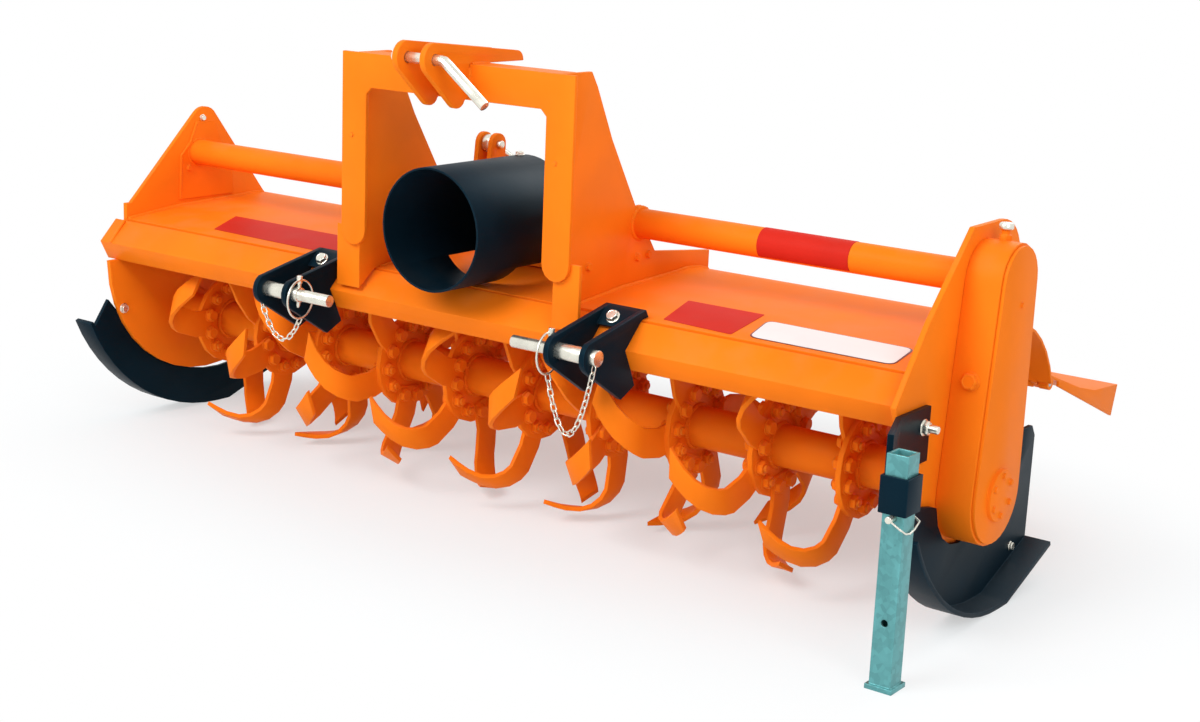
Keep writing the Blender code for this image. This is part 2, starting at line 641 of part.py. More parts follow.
def blade_mesh(flange_x, sign, phase):
    """One strap blade: flat on the flange, then rolled sideways and swept back."""
    stations = 8
    side_x = flange_x + sign * (FLANGE_T / 2 + BLADE_T / 2 - 0.001)
    start_r = 0.052
    bend_r = ROTOR_R - BLADE_T / 2 - BLADE_BEND
    flat_run = bend_r - start_r
    turn_run = BLADE_BEND * math.pi / 2
    tail_run = BLADE_REACH - BLADE_BEND
    total = flat_run + turn_run + tail_run
    made = bmesh.new()
    bmesh.ops.create_grid(made, x_segments=stations, y_segments=1, size=0.5)
    rows = {}
    for vert in made.verts:
        rows.setdefault(round((vert.co.x + 0.5) * stations), []).append(vert)
    marks = [0.0, flat_run * 0.55, flat_run]
    marks += [flat_run + turn_run * k / 4 for k in range(1, 5)]
    marks += [flat_run + turn_run + tail_run * 0.5, total]
    for row, verts in rows.items():
        s = marks[row]
        if s <= flat_run:
            radius, out = start_r + s, 0.0
        elif s <= flat_run + turn_run:
            a = (s - flat_run) / BLADE_BEND
            radius = bend_r + BLADE_BEND * math.sin(a)
            out = BLADE_BEND * (1 - math.cos(a))
        else:
            radius = bend_r + BLADE_BEND
            out = BLADE_BEND + (s - flat_run - turn_run)
        sweep = math.radians(phase) - math.radians(BLADE_SWEEP) * (s / total) ** 2
        for vert in verts:
            across = vert.co.y * BLADE_W
            level = math.sqrt(max(radius * radius - across * across, 1e-8)) \
                if s > flat_run else radius
            y = level * math.cos(sweep) - across * math.sin(sweep)
            z = level * math.sin(sweep) + across * math.cos(sweep)
            vert.co = Vector((side_x + sign * out, ROTOR[0] + y, ROTOR[1] + z))
    mesh = bpy.data.meshes.new("blade")
    made.to_mesh(mesh)
    made.free()
    guide = bpy.data.objects.new("blade", mesh)
    bpy.context.scene.collection.objects.link(guide)
    shell = guide.modifiers.new("shell", "SOLIDIFY")
    shell.thickness = BLADE_T
    shell.offset = 0.0
    shell.use_even_offset = True
    bpy.context.view_layer.update()
    graph = bpy.context.evaluated_depsgraph_get()
    result = bpy.data.meshes.new_from_object(guide.evaluated_get(graph))
    bpy.data.objects.remove(guide)
    fixed = bmesh.new()
    fixed.from_mesh(result)
    bmesh.ops.recalc_face_normals(fixed, faces=fixed.faces)
    fixed.to_mesh(result)
    fixed.free()
    return result


def rotor():
    reach = HALF_WIDTH - HUB_PROUD - SEAT
    rod("rotor_tube", (-reach, *ROTOR), (reach, *ROTOR), ROTOR_TUBE_R, "orange_paint", 24)
    for k in range(FLANGE_COUNT):
        x = FLANGE_FIRST + k * FLANGE_PITCH
        eye = hole(ROTOR, ROTOR_TUBE_R + SEAT, 24)
        flange = flat("rotor_flange_%02d" % (k + 1), [arc(ROTOR, FLANGE_R, 0, 340, 17), eye],
                      x - FLANGE_T / 2, x + FLANGE_T / 2, "orange_paint")
        for side, sign in enumerate((-1, 1)):
            if (k == 0 and sign < 0) or (k == FLANGE_COUNT - 1 and sign > 0):
                continue
            for b in range(BLADES_A_SIDE):
                phase = 360.0 / BLADES_A_SIDE * (b + side / 2) + PHASE_STEP * k
                add(flange, blade_mesh(x, sign, phase))


def skid_line(start, steps=12):
    """Underside of a skid, front tip to tail."""
    centre = (SKID_FLAT[0], SKID_R)
    return arc(centre, SKID_R, start, -90, steps) + [(SKID_FLAT[1], 0.0), SKID_TAIL]


def skid_web(side, start):
    """Side view of the upright plate on a skid, round its end's lower edge."""
    centre = (SKID_FLAT[0], SKID_R)
    web = arc(centre, SKID_R - 0.003, start + 2, -90, 12)
    web += [(SKID_FLAT[1], 0.003), (SKID_STRAP[1], SKID_TAIL[1] - 0.002)]
    if side == "left":
        web += [(SKID_TAIL[0] - 0.08, SKID_WEB + 0.05)]
        web += arc(centre, SKID_R - SKID_WEB, -80, start + 10, 8)
        return web + [SKID_HORN]
    grip = CASE_LOW_R + 0.010
    web += [(SKID_STRAP[1], SKID_STRAP_TOP - 0.020), (SKID_STRAP[1] - 0.014, SKID_STRAP_TOP)]
    web += [(SKID_STRAP[0], SKID_STRAP_TOP), (SKID_STRAP[0], SKID_SHELF)]
    web += arc(ROTOR, grip, -8, -172, 8)
    return web + [(SKID_POST[1], SKID_SHELF), (SKID_POST[0], SKID_POST_TOP)]


def skids():
    table = (
        # side, direction, sole width, front tip
        ("left", -1, SKID_LEFT_W, SKID_LEFT_START),
        ("right", 1, SKID_RIGHT_W, SKID_RIGHT_START),
    )
    for side, sign, width, start in table:
        near = sign * (HALF_WIDTH + PLATE_T + SEAT)
        far = near + sign * width
        sole = flat("skid_" + side, [strip(skid_line(start), -SKID_T)], min(near, far),
                    max(near, far), "black_paint")
        edge = near + sign * SKID_T
        add(sole, plate_mesh([skid_web(side, start)], min(near, edge), max(near, edge)))


def stand():
    """Bent bracket on the right end plate, its sleeve, and the leg with its foot and pin."""
    plate_out = HALF_WIDTH + PLATE_T + SEAT + STAND_PLATE_T
    x = HALF_WIDTH + PLATE_T + STAND_OUT
    half = LEG_SIZE / 2
    hollow = half + SLEEVE_GAP
    out = hollow + SLEEVE_T
    front = STAND_Y - out
    route = [(plate_out, STAND_PLATE[1]), (plate_out, STAND_PLATE[0]), (x - out + 0.004, STAND_Y + 0.004)]
    bracket = flat("stand_bracket", [strip(route, STAND_PLATE_T)], STAND_PLATE_LOW,
                   STAND_PLATE_TOP, "black_paint", "XY")
    add(bracket, box_mesh((x - out, front, SLEEVE_LOW), (x + out, STAND_Y + out, SLEEVE_TOP)))
    cut(bracket, box_mesh((x - hollow, STAND_Y - hollow, 0.0), (x + hollow, STAND_Y + hollow, 1.0)))
    leg = box("stand_leg", (x - half, STAND_Y - half, FOOT_T - 0.001),
              (x + half, STAND_Y + half, LEG_TOP), "galvanised")
    add(leg, box_mesh((x - FOOT_SIZE / 2, STAND_Y - FOOT_SIZE / 2, 0.0),
                      (x + FOOT_SIZE / 2, STAND_Y + FOOT_SIZE / 2, FOOT_T)))
    inside = half - LEG_T
    cut(leg, box_mesh((x - inside, STAND_Y - inside, FOOT_T + 0.002),
                      (x + inside, STAND_Y + inside, 1.0)))
    pin_z = SLEEVE_LOW - STAND_PIN_R - SEAT
    for z in (pin_z, LEG_HOLE):
        cut(leg, rod_mesh((x, front - 0.2, z), (x, STAND_Y + 0.2, z), STAND_PIN_R + SEAT, 16))
    rod("stand_pin", (x, front - STAND_PIN_PROUD, pin_z), (x, STAND_Y + out + STAND_PIN_PROUD, pin_z),
        STAND_PIN_R, "zinc_plate", 16)


def tailboard():
    rod("hinge_rod", (-BOARD_HALF, *HINGE), (BOARD_HALF, *HINGE), HINGE_ROD_R, "bare_steel", 16)
    line = [BOARD_START, BOARD_BEND, BOARD_LIP, BOARD_TIP]
    board = flat("tailboard", [strip(line, BOARD_T)], -BOARD_HALF, BOARD_HALF, "orange_paint")
    half = HINGE_GAP / 2
    edges = [-BOARD_HALF] + [e for x in HINGE_EARS for e in (x - half, x + half)] + [BOARD_HALF]
    for low, high in zip(edges[::2], edges[1::2]):
        add(board, bar_x(HINGE, low, high, KNUCKLE_R, 20))
    cut(board, bar_x(HINGE, -HALF_WIDTH, HALF_WIDTH, HINGE_ROD_R + RUN, 16))
    for x in HINGE_EARS:
        cut(board, box_mesh((x - half, HINGE[0] - 0.05, HINGE[1] - 0.05),
                            (x + half, HINGE[0] + KNUCKLE_R + 0.006, HINGE[1] + 0.05)))
    for sign in (-1, 1):
        side = [(HINGE[0] + 0.040, HINGE[1] - 0.014),
                (BOARD_TIP[0] - 0.018, BOARD_TIP[1] - BOARD_SIDE_H),
                (BOARD_TIP[0], BOARD_TIP[1] - 0.002), (BOARD_LIP[0], BOARD_LIP[1] - 0.002),
                (BOARD_BEND[0], BOARD_BEND[1] - 0.002), (HINGE[0] + 0.040, HINGE[1] + 0.0005)]
        edges = sorted((sign * BOARD_HALF, sign * (BOARD_HALF - BOARD_T)))
        add(board, plate_mesh([side], edges[0], edges[1]))


def adjuster():
    """Lugs on the cross tube, slotted rod and the clevis on the tailboard."""
    x = ADJUSTER_X
    foot = TUBE[1] + TUBE_R / 3
    lug = [(TUBE[0] - LUG_FOOT, foot), (TUBE[0] + LUG_FOOT, foot)]
    lug += arc(LUG_PIN, LUG_R, -10, 170, 8)
    front, back = CLEVIS_PIN[0] - CLEVIS_FOOT, CLEVIS_PIN[0] + CLEVIS_FOOT
    ear = [(front, board_height(front) + SEAT), (back, board_height(back) + SEAT)]
    ear += arc(CLEVIS_PIN, CLEVIS_R, 0, 180, 8)
    out = LUG_GAP / 2 + LUG_T + 0.008
    for side, sign in SIDES:
        low, high = sorted((sign * LUG_GAP / 2, sign * (LUG_GAP / 2 + LUG_T)))
        eye = hole(LUG_PIN, LUG_PIN_R + SEAT, 12)
        seated = flat("adjuster_lug_" + side, [lug, eye], x + low, x + high, "orange_paint")
        cut(seated, bar_x(TUBE, x + low - 0.01, x + high + 0.01, TUBE_R + SEAT, 32))
        eye = hole(CLEVIS_PIN, CLEVIS_PIN_R + SEAT, 12)
        flat("board_clevis_" + side, [ear, eye], x + low, x + high, "orange_paint")
    rod("adjuster_pin", (x - out, *LUG_PIN), (x + out, *LUG_PIN), LUG_PIN_R, "zinc_plate", 12)
    rod("board_pin", (x - out, *CLEVIS_PIN), (x + out, *CLEVIS_PIN), CLEVIS_PIN_R, "zinc_plate", 12)
    top = Vector((x, *LUG_PIN))
    low = Vector((x, *CLEVIS_PIN))
    along = (low - top).normalized()
    slot_top = low - along * SLOT_UP
    slot_end = low + along * SLOT_DOWN
    arm = rod("adjuster_rod", top + along * 0.010, slot_top - along * (SLOT_R + 0.002),
              ADJUSTER_R, "zinc_plate", 16)
    half = LUG_GAP / 2 - 0.0025
    add(arm, bar_x(LUG_PIN, x - half, x + half, ADJUSTER_EYE_R, 20))
    cut(arm, bar_x(LUG_PIN, x - half - 0.01, x + half + 0.01, LUG_PIN_R + RUN, 16))
    tilt = math.degrees(math.atan2(along.z, along.y))
    loops = []
    for radius in (SLOT_R + SLOT_WALL, SLOT_R):
        loop = arc((slot_top.y, slot_top.z), radius, tilt + 90, tilt + 270, 8)
        loops.append(loop + arc((slot_end.y, slot_end.z), radius, tilt - 90, tilt + 90, 8))
    add(arm, plate_mesh(loops, x - half, x + half))


def build():
    for obj in list(bpy.data.objects):
        bpy.data.objects.remove(obj)
    bpy.context.scene.collection.children.link(BODY)
    bpy.context.scene.collection.children.link(CUTTERS)
    end_plates()
    drive_case()
    frame_members()
    centred = set(BODY.objects)
    hitch_tower()
    upper_hitch()
    driveline()
    lower_hitch()
    for obj in set(BODY.objects) - centred:
        obj.data.transform(Matrix.Translation((TOWER_X, 0.0, 0.0)))
    rotor()
    skids()
    stand()
    tailboard()
    adjuster()
    root = bpy.data.objects.new("tiller", None)
    BODY.objects.link(root)
    pieces = [o for o in BODY.objects if o.type == "MESH"]
    low = Vector((min((o.matrix_world @ v.co)[i] for o in pieces for v in o.data.vertices)
                  for i in range(3)))
    high = Vector((max((o.matrix_world @ v.co)[i] for o in pieces for v in o.data.vertices)
                   for i in range(3)))
    for obj in pieces:
        obj.parent = root
    root.location = (-(low.x + high.x) / 2, -(low.y + high.y) / 2, -low.z)


build()
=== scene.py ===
"""Looks of a rotary tiller: paint, fasteners, welds, chains and blank decals on its solids.

The file is laid out as a Blender add-on. Metres, +Z up, the tractor side looks to -Y.
"""
import math
import random

import bmesh
import bpy
from bpy.props import FloatProperty, FloatVectorProperty, PointerProperty
from mathutils import Matrix, Vector


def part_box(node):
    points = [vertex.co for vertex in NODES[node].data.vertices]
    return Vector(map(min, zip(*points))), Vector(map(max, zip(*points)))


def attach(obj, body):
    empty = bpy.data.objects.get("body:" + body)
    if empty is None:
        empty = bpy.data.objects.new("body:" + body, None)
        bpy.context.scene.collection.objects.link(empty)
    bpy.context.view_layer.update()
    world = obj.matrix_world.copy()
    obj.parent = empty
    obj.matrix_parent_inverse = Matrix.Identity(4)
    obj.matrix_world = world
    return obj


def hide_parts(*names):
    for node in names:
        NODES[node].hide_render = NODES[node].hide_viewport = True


bl_info = {
    "name": "Rotary tiller looks",
    "version": (1, 0, 0),
    "blender": (4, 5, 0),
    "location": "View3D > Sidebar > Tiller",
    "description": "Paints the tiller's solids and adds its fasteners, welds, chains and decals",
    "category": "Object",
}

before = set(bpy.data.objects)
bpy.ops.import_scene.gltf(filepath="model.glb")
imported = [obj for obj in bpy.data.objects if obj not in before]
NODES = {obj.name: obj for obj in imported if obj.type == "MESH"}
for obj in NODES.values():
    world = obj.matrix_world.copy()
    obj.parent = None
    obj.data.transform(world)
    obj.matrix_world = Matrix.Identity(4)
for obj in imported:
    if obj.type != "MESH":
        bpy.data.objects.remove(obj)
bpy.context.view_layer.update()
SIDES = (("left", -1), ("right", 1))


def low(node):
    """Lower corner of a node's box."""
    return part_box(node)[0]


def high(node):
    """Upper corner of a node's box."""
    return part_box(node)[1]


def middle(node):
    """Middle of a node's box."""
    return (low(node) + high(node)) / 2


# The machine's own frame: x = 0 between the end plates, y = 0 the front of the hitch tower
ORIGIN = Vector((middle("rotor_tube").x, low("hitch_portal").y, 0.0))
ROTOR = middle("rotor_tube")
TUBE = middle("cross_tube_right")
TUBE_R = (high("cross_tube_right").z - low("cross_tube_right").z) / 2
PLATE_FACE = {"left": high("end_plate_left").x, "right": low("end_plate_right").x}
WALL_T = 0.008               # the tower's walls; their boxes also hold the strips in front
FLANGES = ["rotor_flange_%02d" % (k + 1) for k in range(10)]
FLANGE_T = 0.010
BLADE_T = 0.008
BLADES_A_SIDE = 3
BLADE_HOLES = (-15, 15)      # degrees from a blade's middle line to its two bolts
PHASE_STEP = 27.0            # degrees from one flange to the next

# How far washers sink into their faces, and welds into the corners that they fill
SINK = 0.0004                # flanges, end plates, case and tower
SINK_LIGHT = 0.0003          # gearbox, guard, lower brackets and stand
WELD_STANDOFF = 0.001
RIPPLE = 0.0022              # length of one ripple of a weld bead

# Doubler plate on the left end plate: its welded front edge and the rest of its outline, (y, z)
DOUBLER_FRONT = [(0.2025, 0.472), (0.2066, 0.566), (0.2321, 0.5925), (0.252, 0.636)]
DOUBLER_REST = [(0.300, 0.636), (0.352, 0.520), (0.356, 0.472)]
DOUBLER_T = 0.003
BEAM_RIDGE = (0.010, 0.400)  # foremost line of the front beam, (y, z)
BEAM_SLOPE = 0.038           # how far the beam's sloping top runs back from there

# Shares of a bolt's thread: half its head's width over the flats, and its washer's thickness
FLAT_SHARE = 0.80
WASHER_SHARE = 0.17

# Fasteners in the machine's frame, (y, z, thread)
LEFT_PLATE_BOLTS = ((0.2689, 0.6433, 0.007), (0.0436, 0.2555, 0.010))
RIGHT_PLATE_BOLT = (0.345, 0.600, 0.008)
DOUBLER_BOLT = (0.2258, 0.5387, 0.007)
COVER_SCREW = (0.263, 0.535, 0.005)
STAND_BOLT = (0.066, 0.361, 0.013)
WALL_BOLTS = ((0.2481, 0.5087), (0.2830, 0.5098), (0.0988, 0.5099), (0.0760, 0.4940))
WALL_THREAD = 0.008
POST_SCREWS = ((-0.2206, 0.700), (0.2497, 0.700))    # (x, z) on the portal's posts
COVER_STEP = 0.008           # the case's boss stands this far out from its cover
BEARING_CAP_T = 0.028        # and the left bearing's cap this far out from its flange
SKID_BOLT = (0.9360, 0.4536, 0.0655, 0.008)          # (x, y, z, thread) on the right skid
CASE_PLUG = (0.962, 0.1722, 0.4198, 0.015)           # the same, on the case's front
BREATHER = (0.957, 0.266)                            # (x, y) on the case's top
STAND_PLATE_T = 0.0103       # the stand's plate with the gap behind it
GUARD_BOLT_ANGLES = (94, 20, 160)                    # degrees round the guard
GUARD_BOLT_INSET = 0.017     # from the guard's rear edge

# Bolt of a lower bracket: x from the bracket's middle, y in the machine's frame, thread
BRACKET_BOLT = (-0.007, 0.038, 0.012)

# Linch pins and their chains
LINCH_OFF = 0.007            # from the bracket's inner ear to the linch pin
RING_R = 0.036
RING_WIRE = 0.0021
LINK_LENGTH = 0.016
LINK_WIDTH = 0.009
CHAIN_SAG = {"left": 0.062, "right": 0.112}

# Decals in the machine's frame: corners are (x, y) on the deck, x on the tube
DECK_RED_RIGHT = ((0.433, 0.078), (0.575, 0.069), (0.562, 0.197), (0.405, 0.197))
DECK_RED_LEFT = ((-0.693, 0.093), (-0.330, 0.082), (-0.343, 0.197), (-0.739, 0.197))
DECK_PLATE_RIM = ((0.604, 0.074), (0.874, 0.073), (0.864, 0.167), (0.584, 0.171))
DECK_PLATE = ((0.6065, 0.0765), (0.8715, 0.0755), (0.8615, 0.1645), (0.5870, 0.1685))
TUBE_BAND = (0.518, 0.697)
TUBE_BAND_START = 30         # degrees round the tube, from its rear upwards
TUBE_BAND_TURN = 200

DUST = (0.46, 0.40, 0.32)    # colour of the settled dust


def spot(x, y, z):
    """A place given in the machine's own frame."""
    return ORIGIN + Vector((x, y, z))


def flange_x(k):
    """Middle plane of a rotor flange, from the boxes of the flanges with blades on both sides."""
    one, last = middle(FLANGES[1]).x, middle(FLANGES[-2]).x
    return one + (last - one) * (k - 1) / (len(FLANGES) - 3)


def colour_setting(name, text, value):
    """A colour in the panel."""
    return FloatVectorProperty(name=name, description=text, subtype="COLOR", default=value,
                               min=0, max=1)


def length_setting(name, text, value):
    """A length in the panel."""
    return FloatProperty(name=name, description=text, unit="LENGTH", default=value, min=0)


class TillerFinish(bpy.types.PropertyGroup):
    """Colours of the finishes, and the enamel's roughness"""
    orange: colour_setting("Orange enamel", "Frame, hood, rotor and case", (0.95, 0.200, 0.008))
    black: colour_setting("Black enamel", "Guard, brackets and skids", (0.003, 0.010, 0.017))
    zinc: colour_setting("Zinc plating", "Pins, rings and chains", (0.78, 0.76, 0.66))
    galvanised: colour_setting("Galvanised steel", "Leg of the parking stand", (0.13, 0.38, 0.39))
    bare: colour_setting("Bare steel", "Input shaft and hinge rod", (0.42, 0.41, 0.39))
    decal_red: colour_setting("Red film", "Red decals", (0.58, 0.022, 0.012))
    decal_white: colour_setting("White film", "White plate", (0.86, 0.85, 0.84))
    gloss: FloatProperty(
        name="Enamel roughness", description="Roughness of the enamel", default=0.44, min=0, max=1)


class TillerDetail(bpy.types.PropertyGroup):
    """Sizes of the small parts"""
    edge: length_setting("Edge radius", "Rounding of the steel plates' edges", 0.0012)
    weld: length_setting("Weld radius", "Radius of the weld beads", 0.0042)
    blade_bolt: length_setting("Blade bolt", "Thread of the blades' bolts", 0.014)
    bolt_circle: length_setting("Bolt circle", "Radius of the bolts' circle on a flange", 0.072)
    film: length_setting("Film thickness", "Thickness of a decal", 0.0003)
    chain_wire: length_setting("Chain wire", "Radius of the safety chains' wire", 0.0014)


class TillerStage(bpy.types.PropertyGroup):
    """Camera and lights"""
    place: FloatVectorProperty(
        name="Camera place", description="Camera in the machine's own frame",
        subtype="TRANSLATION", default=(2.1800, -2.5269, 1.1408))
    azimuth: FloatProperty(
        name="Azimuth", description="Camera's turn round the machine", subtype="ANGLE",
        default=math.radians(35.755))
    elevation: FloatProperty(
        name="Elevation", description="Camera's height as an angle", subtype="ANGLE",
        default=math.radians(13.802))
    roll: FloatProperty(
        name="Roll", description="Camera's roll", subtype="ANGLE", default=math.radians(2.395))
    lens: FloatProperty(
        name="Lens", description="Focal length in millimetres on a 36 mm frame", default=56.6)
    key: FloatProperty(
        name="Key light", description="Power of the large lamp, in watts", default=165.0)
    ambient: FloatProperty(
        name="Ambient light", description="Strength of the even light all round", default=0.50)


def link(tree, source, target):
    tree.links.new(source, target)


def node(tree, kind, **values):
    """A shader node with its properties or, by socket name, its inputs set."""
    made = tree.nodes.new("ShaderNode" + kind)
    for name, value in values.items():
        if hasattr(made, name):
            setattr(made, name, value)
        else:
            made.inputs[name.replace("_", " ")].default_value = value
    return made


def maths(tree, operation, first, second):
    """A Math node whose operands are sockets or numbers; returns its output."""
    made = node(tree, "Math", operation=operation)
    for slot, value in zip(made.inputs, (first, second)):
        if isinstance(value, (int, float)):
            slot.default_value = value
        else:
            link(tree, value, slot)
    return made.outputs[0]


def span(tree, value, from_low, from_high, to_low=0.0, to_high=1.0):
    """A value mapped smoothly from one range to another."""
    made = node(tree, "MapRange", interpolation_type="SMOOTHSTEP")
    for slot, given in zip(made.inputs[1:5], (from_low, from_high, to_low, to_high)):
        slot.default_value = given
    link(tree, value, made.inputs[0])
    return made.outputs[0]


def effect_group(name, inputs, outputs):
    """A shader node group with named number inputs and outputs, and its two end nodes."""
    group = bpy.data.node_groups.new(name, "ShaderNodeTree")
    for label, default in inputs:
        socket = group.interface.new_socket(label, in_out="INPUT", socket_type="NodeSocketFloat")
        socket.default_value = default
    for label, kind in outputs:
        group.interface.new_socket(label, in_out="OUTPUT", socket_type="NodeSocket" + kind)
    return group, group.nodes.new("NodeGroupInput"), group.nodes.new("NodeGroupOutput")


def rounded_edge_group():
    """Edges of a plate: a normal rounded over them, and a mask where they are, on which the
    finishes paint a highlight.
    """
    group, given, out = effect_group(
        "rounded_edges", [("Radius", 0.002), ("Amount", 1.0)],
        [("Normal", "Vector"), ("Mask", "Float")])
    soft = node(group, "Bevel", samples=6)
    link(group, given.outputs["Radius"], soft.inputs["Radius"])
    flat = node(group, "NewGeometry")
    same = node(group, "VectorMath", operation="DOT_PRODUCT")
    link(group, soft.outputs[0], same.inputs[0])
    link(group, flat.outputs["Normal"], same.inputs[1])
    turned_away = span(group, same.outputs["Value"], 0.995, 0.80)
    link(group, maths(group, "MULTIPLY", turned_away, given.outputs["Amount"]),
         out.inputs["Mask"])
    link(group, soft.outputs[0], out.inputs["Normal"])
    return group


def grain_group():
    """Fine and coarse noise of a sprayed, cast or plated face."""
    group, given, out = effect_group(
        "surface_grain", [("Fine Scale", 900.0), ("Coarse Scale", 6.0)],
        [("Fine", "Float"), ("Coarse", "Float")])
    place = node(group, "TexCoord")
    for label in ("Fine", "Coarse"):
        cloud = node(group, "TexNoise", Detail=3.0)
        link(group, place.outputs["Object"], cloud.inputs["Vector"])
        link(group, given.outputs[label + " Scale"], cloud.inputs["Scale"])
        link(group, cloud.outputs["Fac"], out.inputs[label])
    return group


def dust_group():
    """Mask of the dust that settles in patches on faces that look up."""
    group, given, out = effect_group(
        "settled_dust", [("Amount", 0.3), ("Scale", 14.0)], [("Mask", "Float")])
    shape = node(group, "NewGeometry")
    parts = node(group, "SeparateXYZ")
    link(group, shape.outputs["Normal"], parts.inputs[0])
    up = span(group, parts.outputs["Z"], 0.2, 1.0)
    place = node(group, "TexCoord")
    cloud = node(group, "TexNoise", Detail=6.0)
    link(group, place.outputs["Object"], cloud.inputs["Vector"])
    link(group, given.outputs["Scale"], cloud.inputs["Scale"])
    patches = span(group, cloud.outputs["Fac"], 0.42, 0.72)
    mask = maths(group, "MULTIPLY", maths(group, "MULTIPLY", up, patches), given.outputs["Amount"])
    link(group, mask, out.inputs["Mask"])
    return group


def use_group(tree, name, **values):
    """The named effect group in a material, with its own values."""
    return node(tree, "Group", node_tree=bpy.data.node_groups[name], **values)


def mixed(tree, factor, first, second):
    """Colour between two, by a mask; each is a socket or a plain colour."""
    made = node(tree, "Mix", data_type="RGBA")
    slots = [s for s in made.inputs if s.type == "RGBA"]
    for slot, value in zip(slots, (first, second)):
        if isinstance(value, bpy.types.NodeSocket):
            link(tree, value, slot)
        else:
            slot.default_value = (*value, 1.0)
    link(tree, factor, made.inputs["Factor"])
    return [s for s in made.outputs if s.type == "RGBA"][0]


def shade(colour, factor):
    """A colour made darker or lighter, within the range of a colour."""
    return tuple(max(0.0, min(1.0, c * factor)) for c in colour)


def new_material(name):
    """A new material of this name; the frame's own plain one steps aside."""
    plain = bpy.data.materials.get(name)
    if plain:
        plain.name = "plain_" + name
    return bpy.data.materials.new(name)


def finish_material(name, colour, roughness, *, tone, edge, dust, bump, edge_highlight_colour=None,
                    metallic=0.0, specular=0.5, reflection_tint=(1.0, 1.0, 1.0), fine=900.0, coarse=6.0):
    """A Principled finish with grain, rounded edges painted lighter as a highlight, and dust; tone
    is its share of mottling.
    """
    made = new_material(name)
    made.use_nodes = True
    tree = made.node_tree
    shader = tree.nodes["Principled BSDF"]
    shader.inputs["Metallic"].default_value = metallic
    shader.inputs["Specular IOR Level"].default_value = specular
    # painted reflection: a tint other than white gives the reflections a colour that stands for
    # coloured light
    shader.inputs["Specular Tint"].default_value = (*reflection_tint, 1.0)
    grain = use_group(tree, "surface_grain", Fine_Scale=fine, Coarse_Scale=coarse)
    edges = use_group(tree, "rounded_edges", Radius=0.0016, Amount=edge)
    settled = use_group(tree, "settled_dust", Amount=dust, Scale=14.0)
    cloudy = span(tree, grain.outputs["Coarse"], 0.30, 0.70)
    base = mixed(tree, cloudy, shade(colour, 1.0 - tone), shade(colour, 1.0 + tone))
    # painted highlight: the rounded edges are painted in a lighter colour than the finish, by the
    # share edge
    base = mixed(tree, edges.outputs["Mask"], base, edge_highlight_colour or shade(colour, 1.5))
    base = mixed(tree, settled.outputs["Mask"], base, DUST)
    link(tree, base, shader.inputs["Base Color"])
    uneven = span(tree, grain.outputs["Coarse"], 0.25, 0.75, roughness - 0.05, roughness + 0.05)
    dusty = maths(tree, "MULTIPLY", settled.outputs["Mask"], 0.3)
    link(tree, maths(tree, "ADD", uneven, dusty), shader.inputs["Roughness"])
    relief = node(tree, "Bump", Strength=bump, Distance=0.0006)
    link(tree, grain.outputs["Fine"], relief.inputs["Height"])
    link(tree, edges.outputs["Normal"], relief.inputs["Normal"])
    link(tree, relief.outputs[0], shader.inputs["Normal"])
    return made


def spangle_material(name, colour):
    """Hot-dip zinc with its crystals."""
    made = finish_material(name, colour, 0.42, metallic=0.75, tone=0.05, edge=0.2, dust=0.15,
                           bump=0.15, fine=500.0, coarse=25.0)
    tree = made.node_tree
    shader = tree.nodes["Principled BSDF"]
    place = node(tree, "TexCoord")
    crystals = node(tree, "TexVoronoi", Scale=110.0)
    link(tree, place.outputs["Object"], crystals.inputs["Vector"])
    flakes = node(tree, "SeparateColor")
    link(tree, crystals.outputs["Color"], flakes.inputs[0])
    before = shader.inputs["Base Color"].links[0].from_socket
    darker = mixed(tree, span(tree, flakes.outputs[0], 0.0, 1.0, 0.0, 0.35), before,
                   shade(colour, 0.45))
    link(tree, darker, shader.inputs["Base Color"])
    return made


def smooth_steel_group():
    """Geometry nodes that shade a plate smooth and keep its edges sharp."""
    name = "smooth_by_angle"
    group = bpy.data.node_groups.get(name)
    if group:
        return group
    group = bpy.data.node_groups.new(name, "GeometryNodeTree")
    group.is_modifier = True
    group.interface.new_socket("Geometry", in_out="INPUT", socket_type="NodeSocketGeometry")
    group.interface.new_socket("Geometry", in_out="OUTPUT", socket_type="NodeSocketGeometry")
    start = group.nodes.new("NodeGroupInput")
    end = group.nodes.new("NodeGroupOutput")
    faces = group.nodes.new("GeometryNodeSetShadeSmooth")
    edges = group.nodes.new("GeometryNodeSetShadeSmooth")
    edges.domain = "EDGE"
    angle = group.nodes.new("GeometryNodeInputMeshEdgeAngle")
    gentle = group.nodes.new("FunctionNodeCompare")
    gentle.operation = "LESS_THAN"
    gentle.inputs["B"].default_value = math.radians(32)
    link(group, start.outputs[0], faces.inputs["Geometry"])
    link(group, faces.outputs[0], edges.inputs["Geometry"])
    link(group, angle.outputs["Unsigned Angle"], gentle.inputs["A"])
    link(group, gentle.outputs[0], edges.inputs["Shade Smooth"])
    link(group, edges.outputs[0], end.inputs[0])
    return group


def dress(name, finish, edge):
    """Give a CAD node its material and rounded, smoothly shaded edges."""
    obj = NODES[name]
    obj.data.materials.clear()
    obj.data.materials.append(bpy.data.materials[finish])
    seam = obj.modifiers.new("seam", "WELD")
    seam.merge_threshold = 0.00001
    plane = obj.modifiers.new("plane", "DECIMATE")
    plane.decimate_type = "DISSOLVE"
    plane.angle_limit = math.radians(0.6)
    if edge:
        soft = obj.modifiers.new("edges", "BEVEL")
        soft.width = edge
        soft.segments = 2
        soft.limit_method = "ANGLE"
        soft.angle_limit = math.radians(38)
    smooth = obj.modifiers.new("smooth", "NODES")
    smooth.node_group = smooth_steel_group()


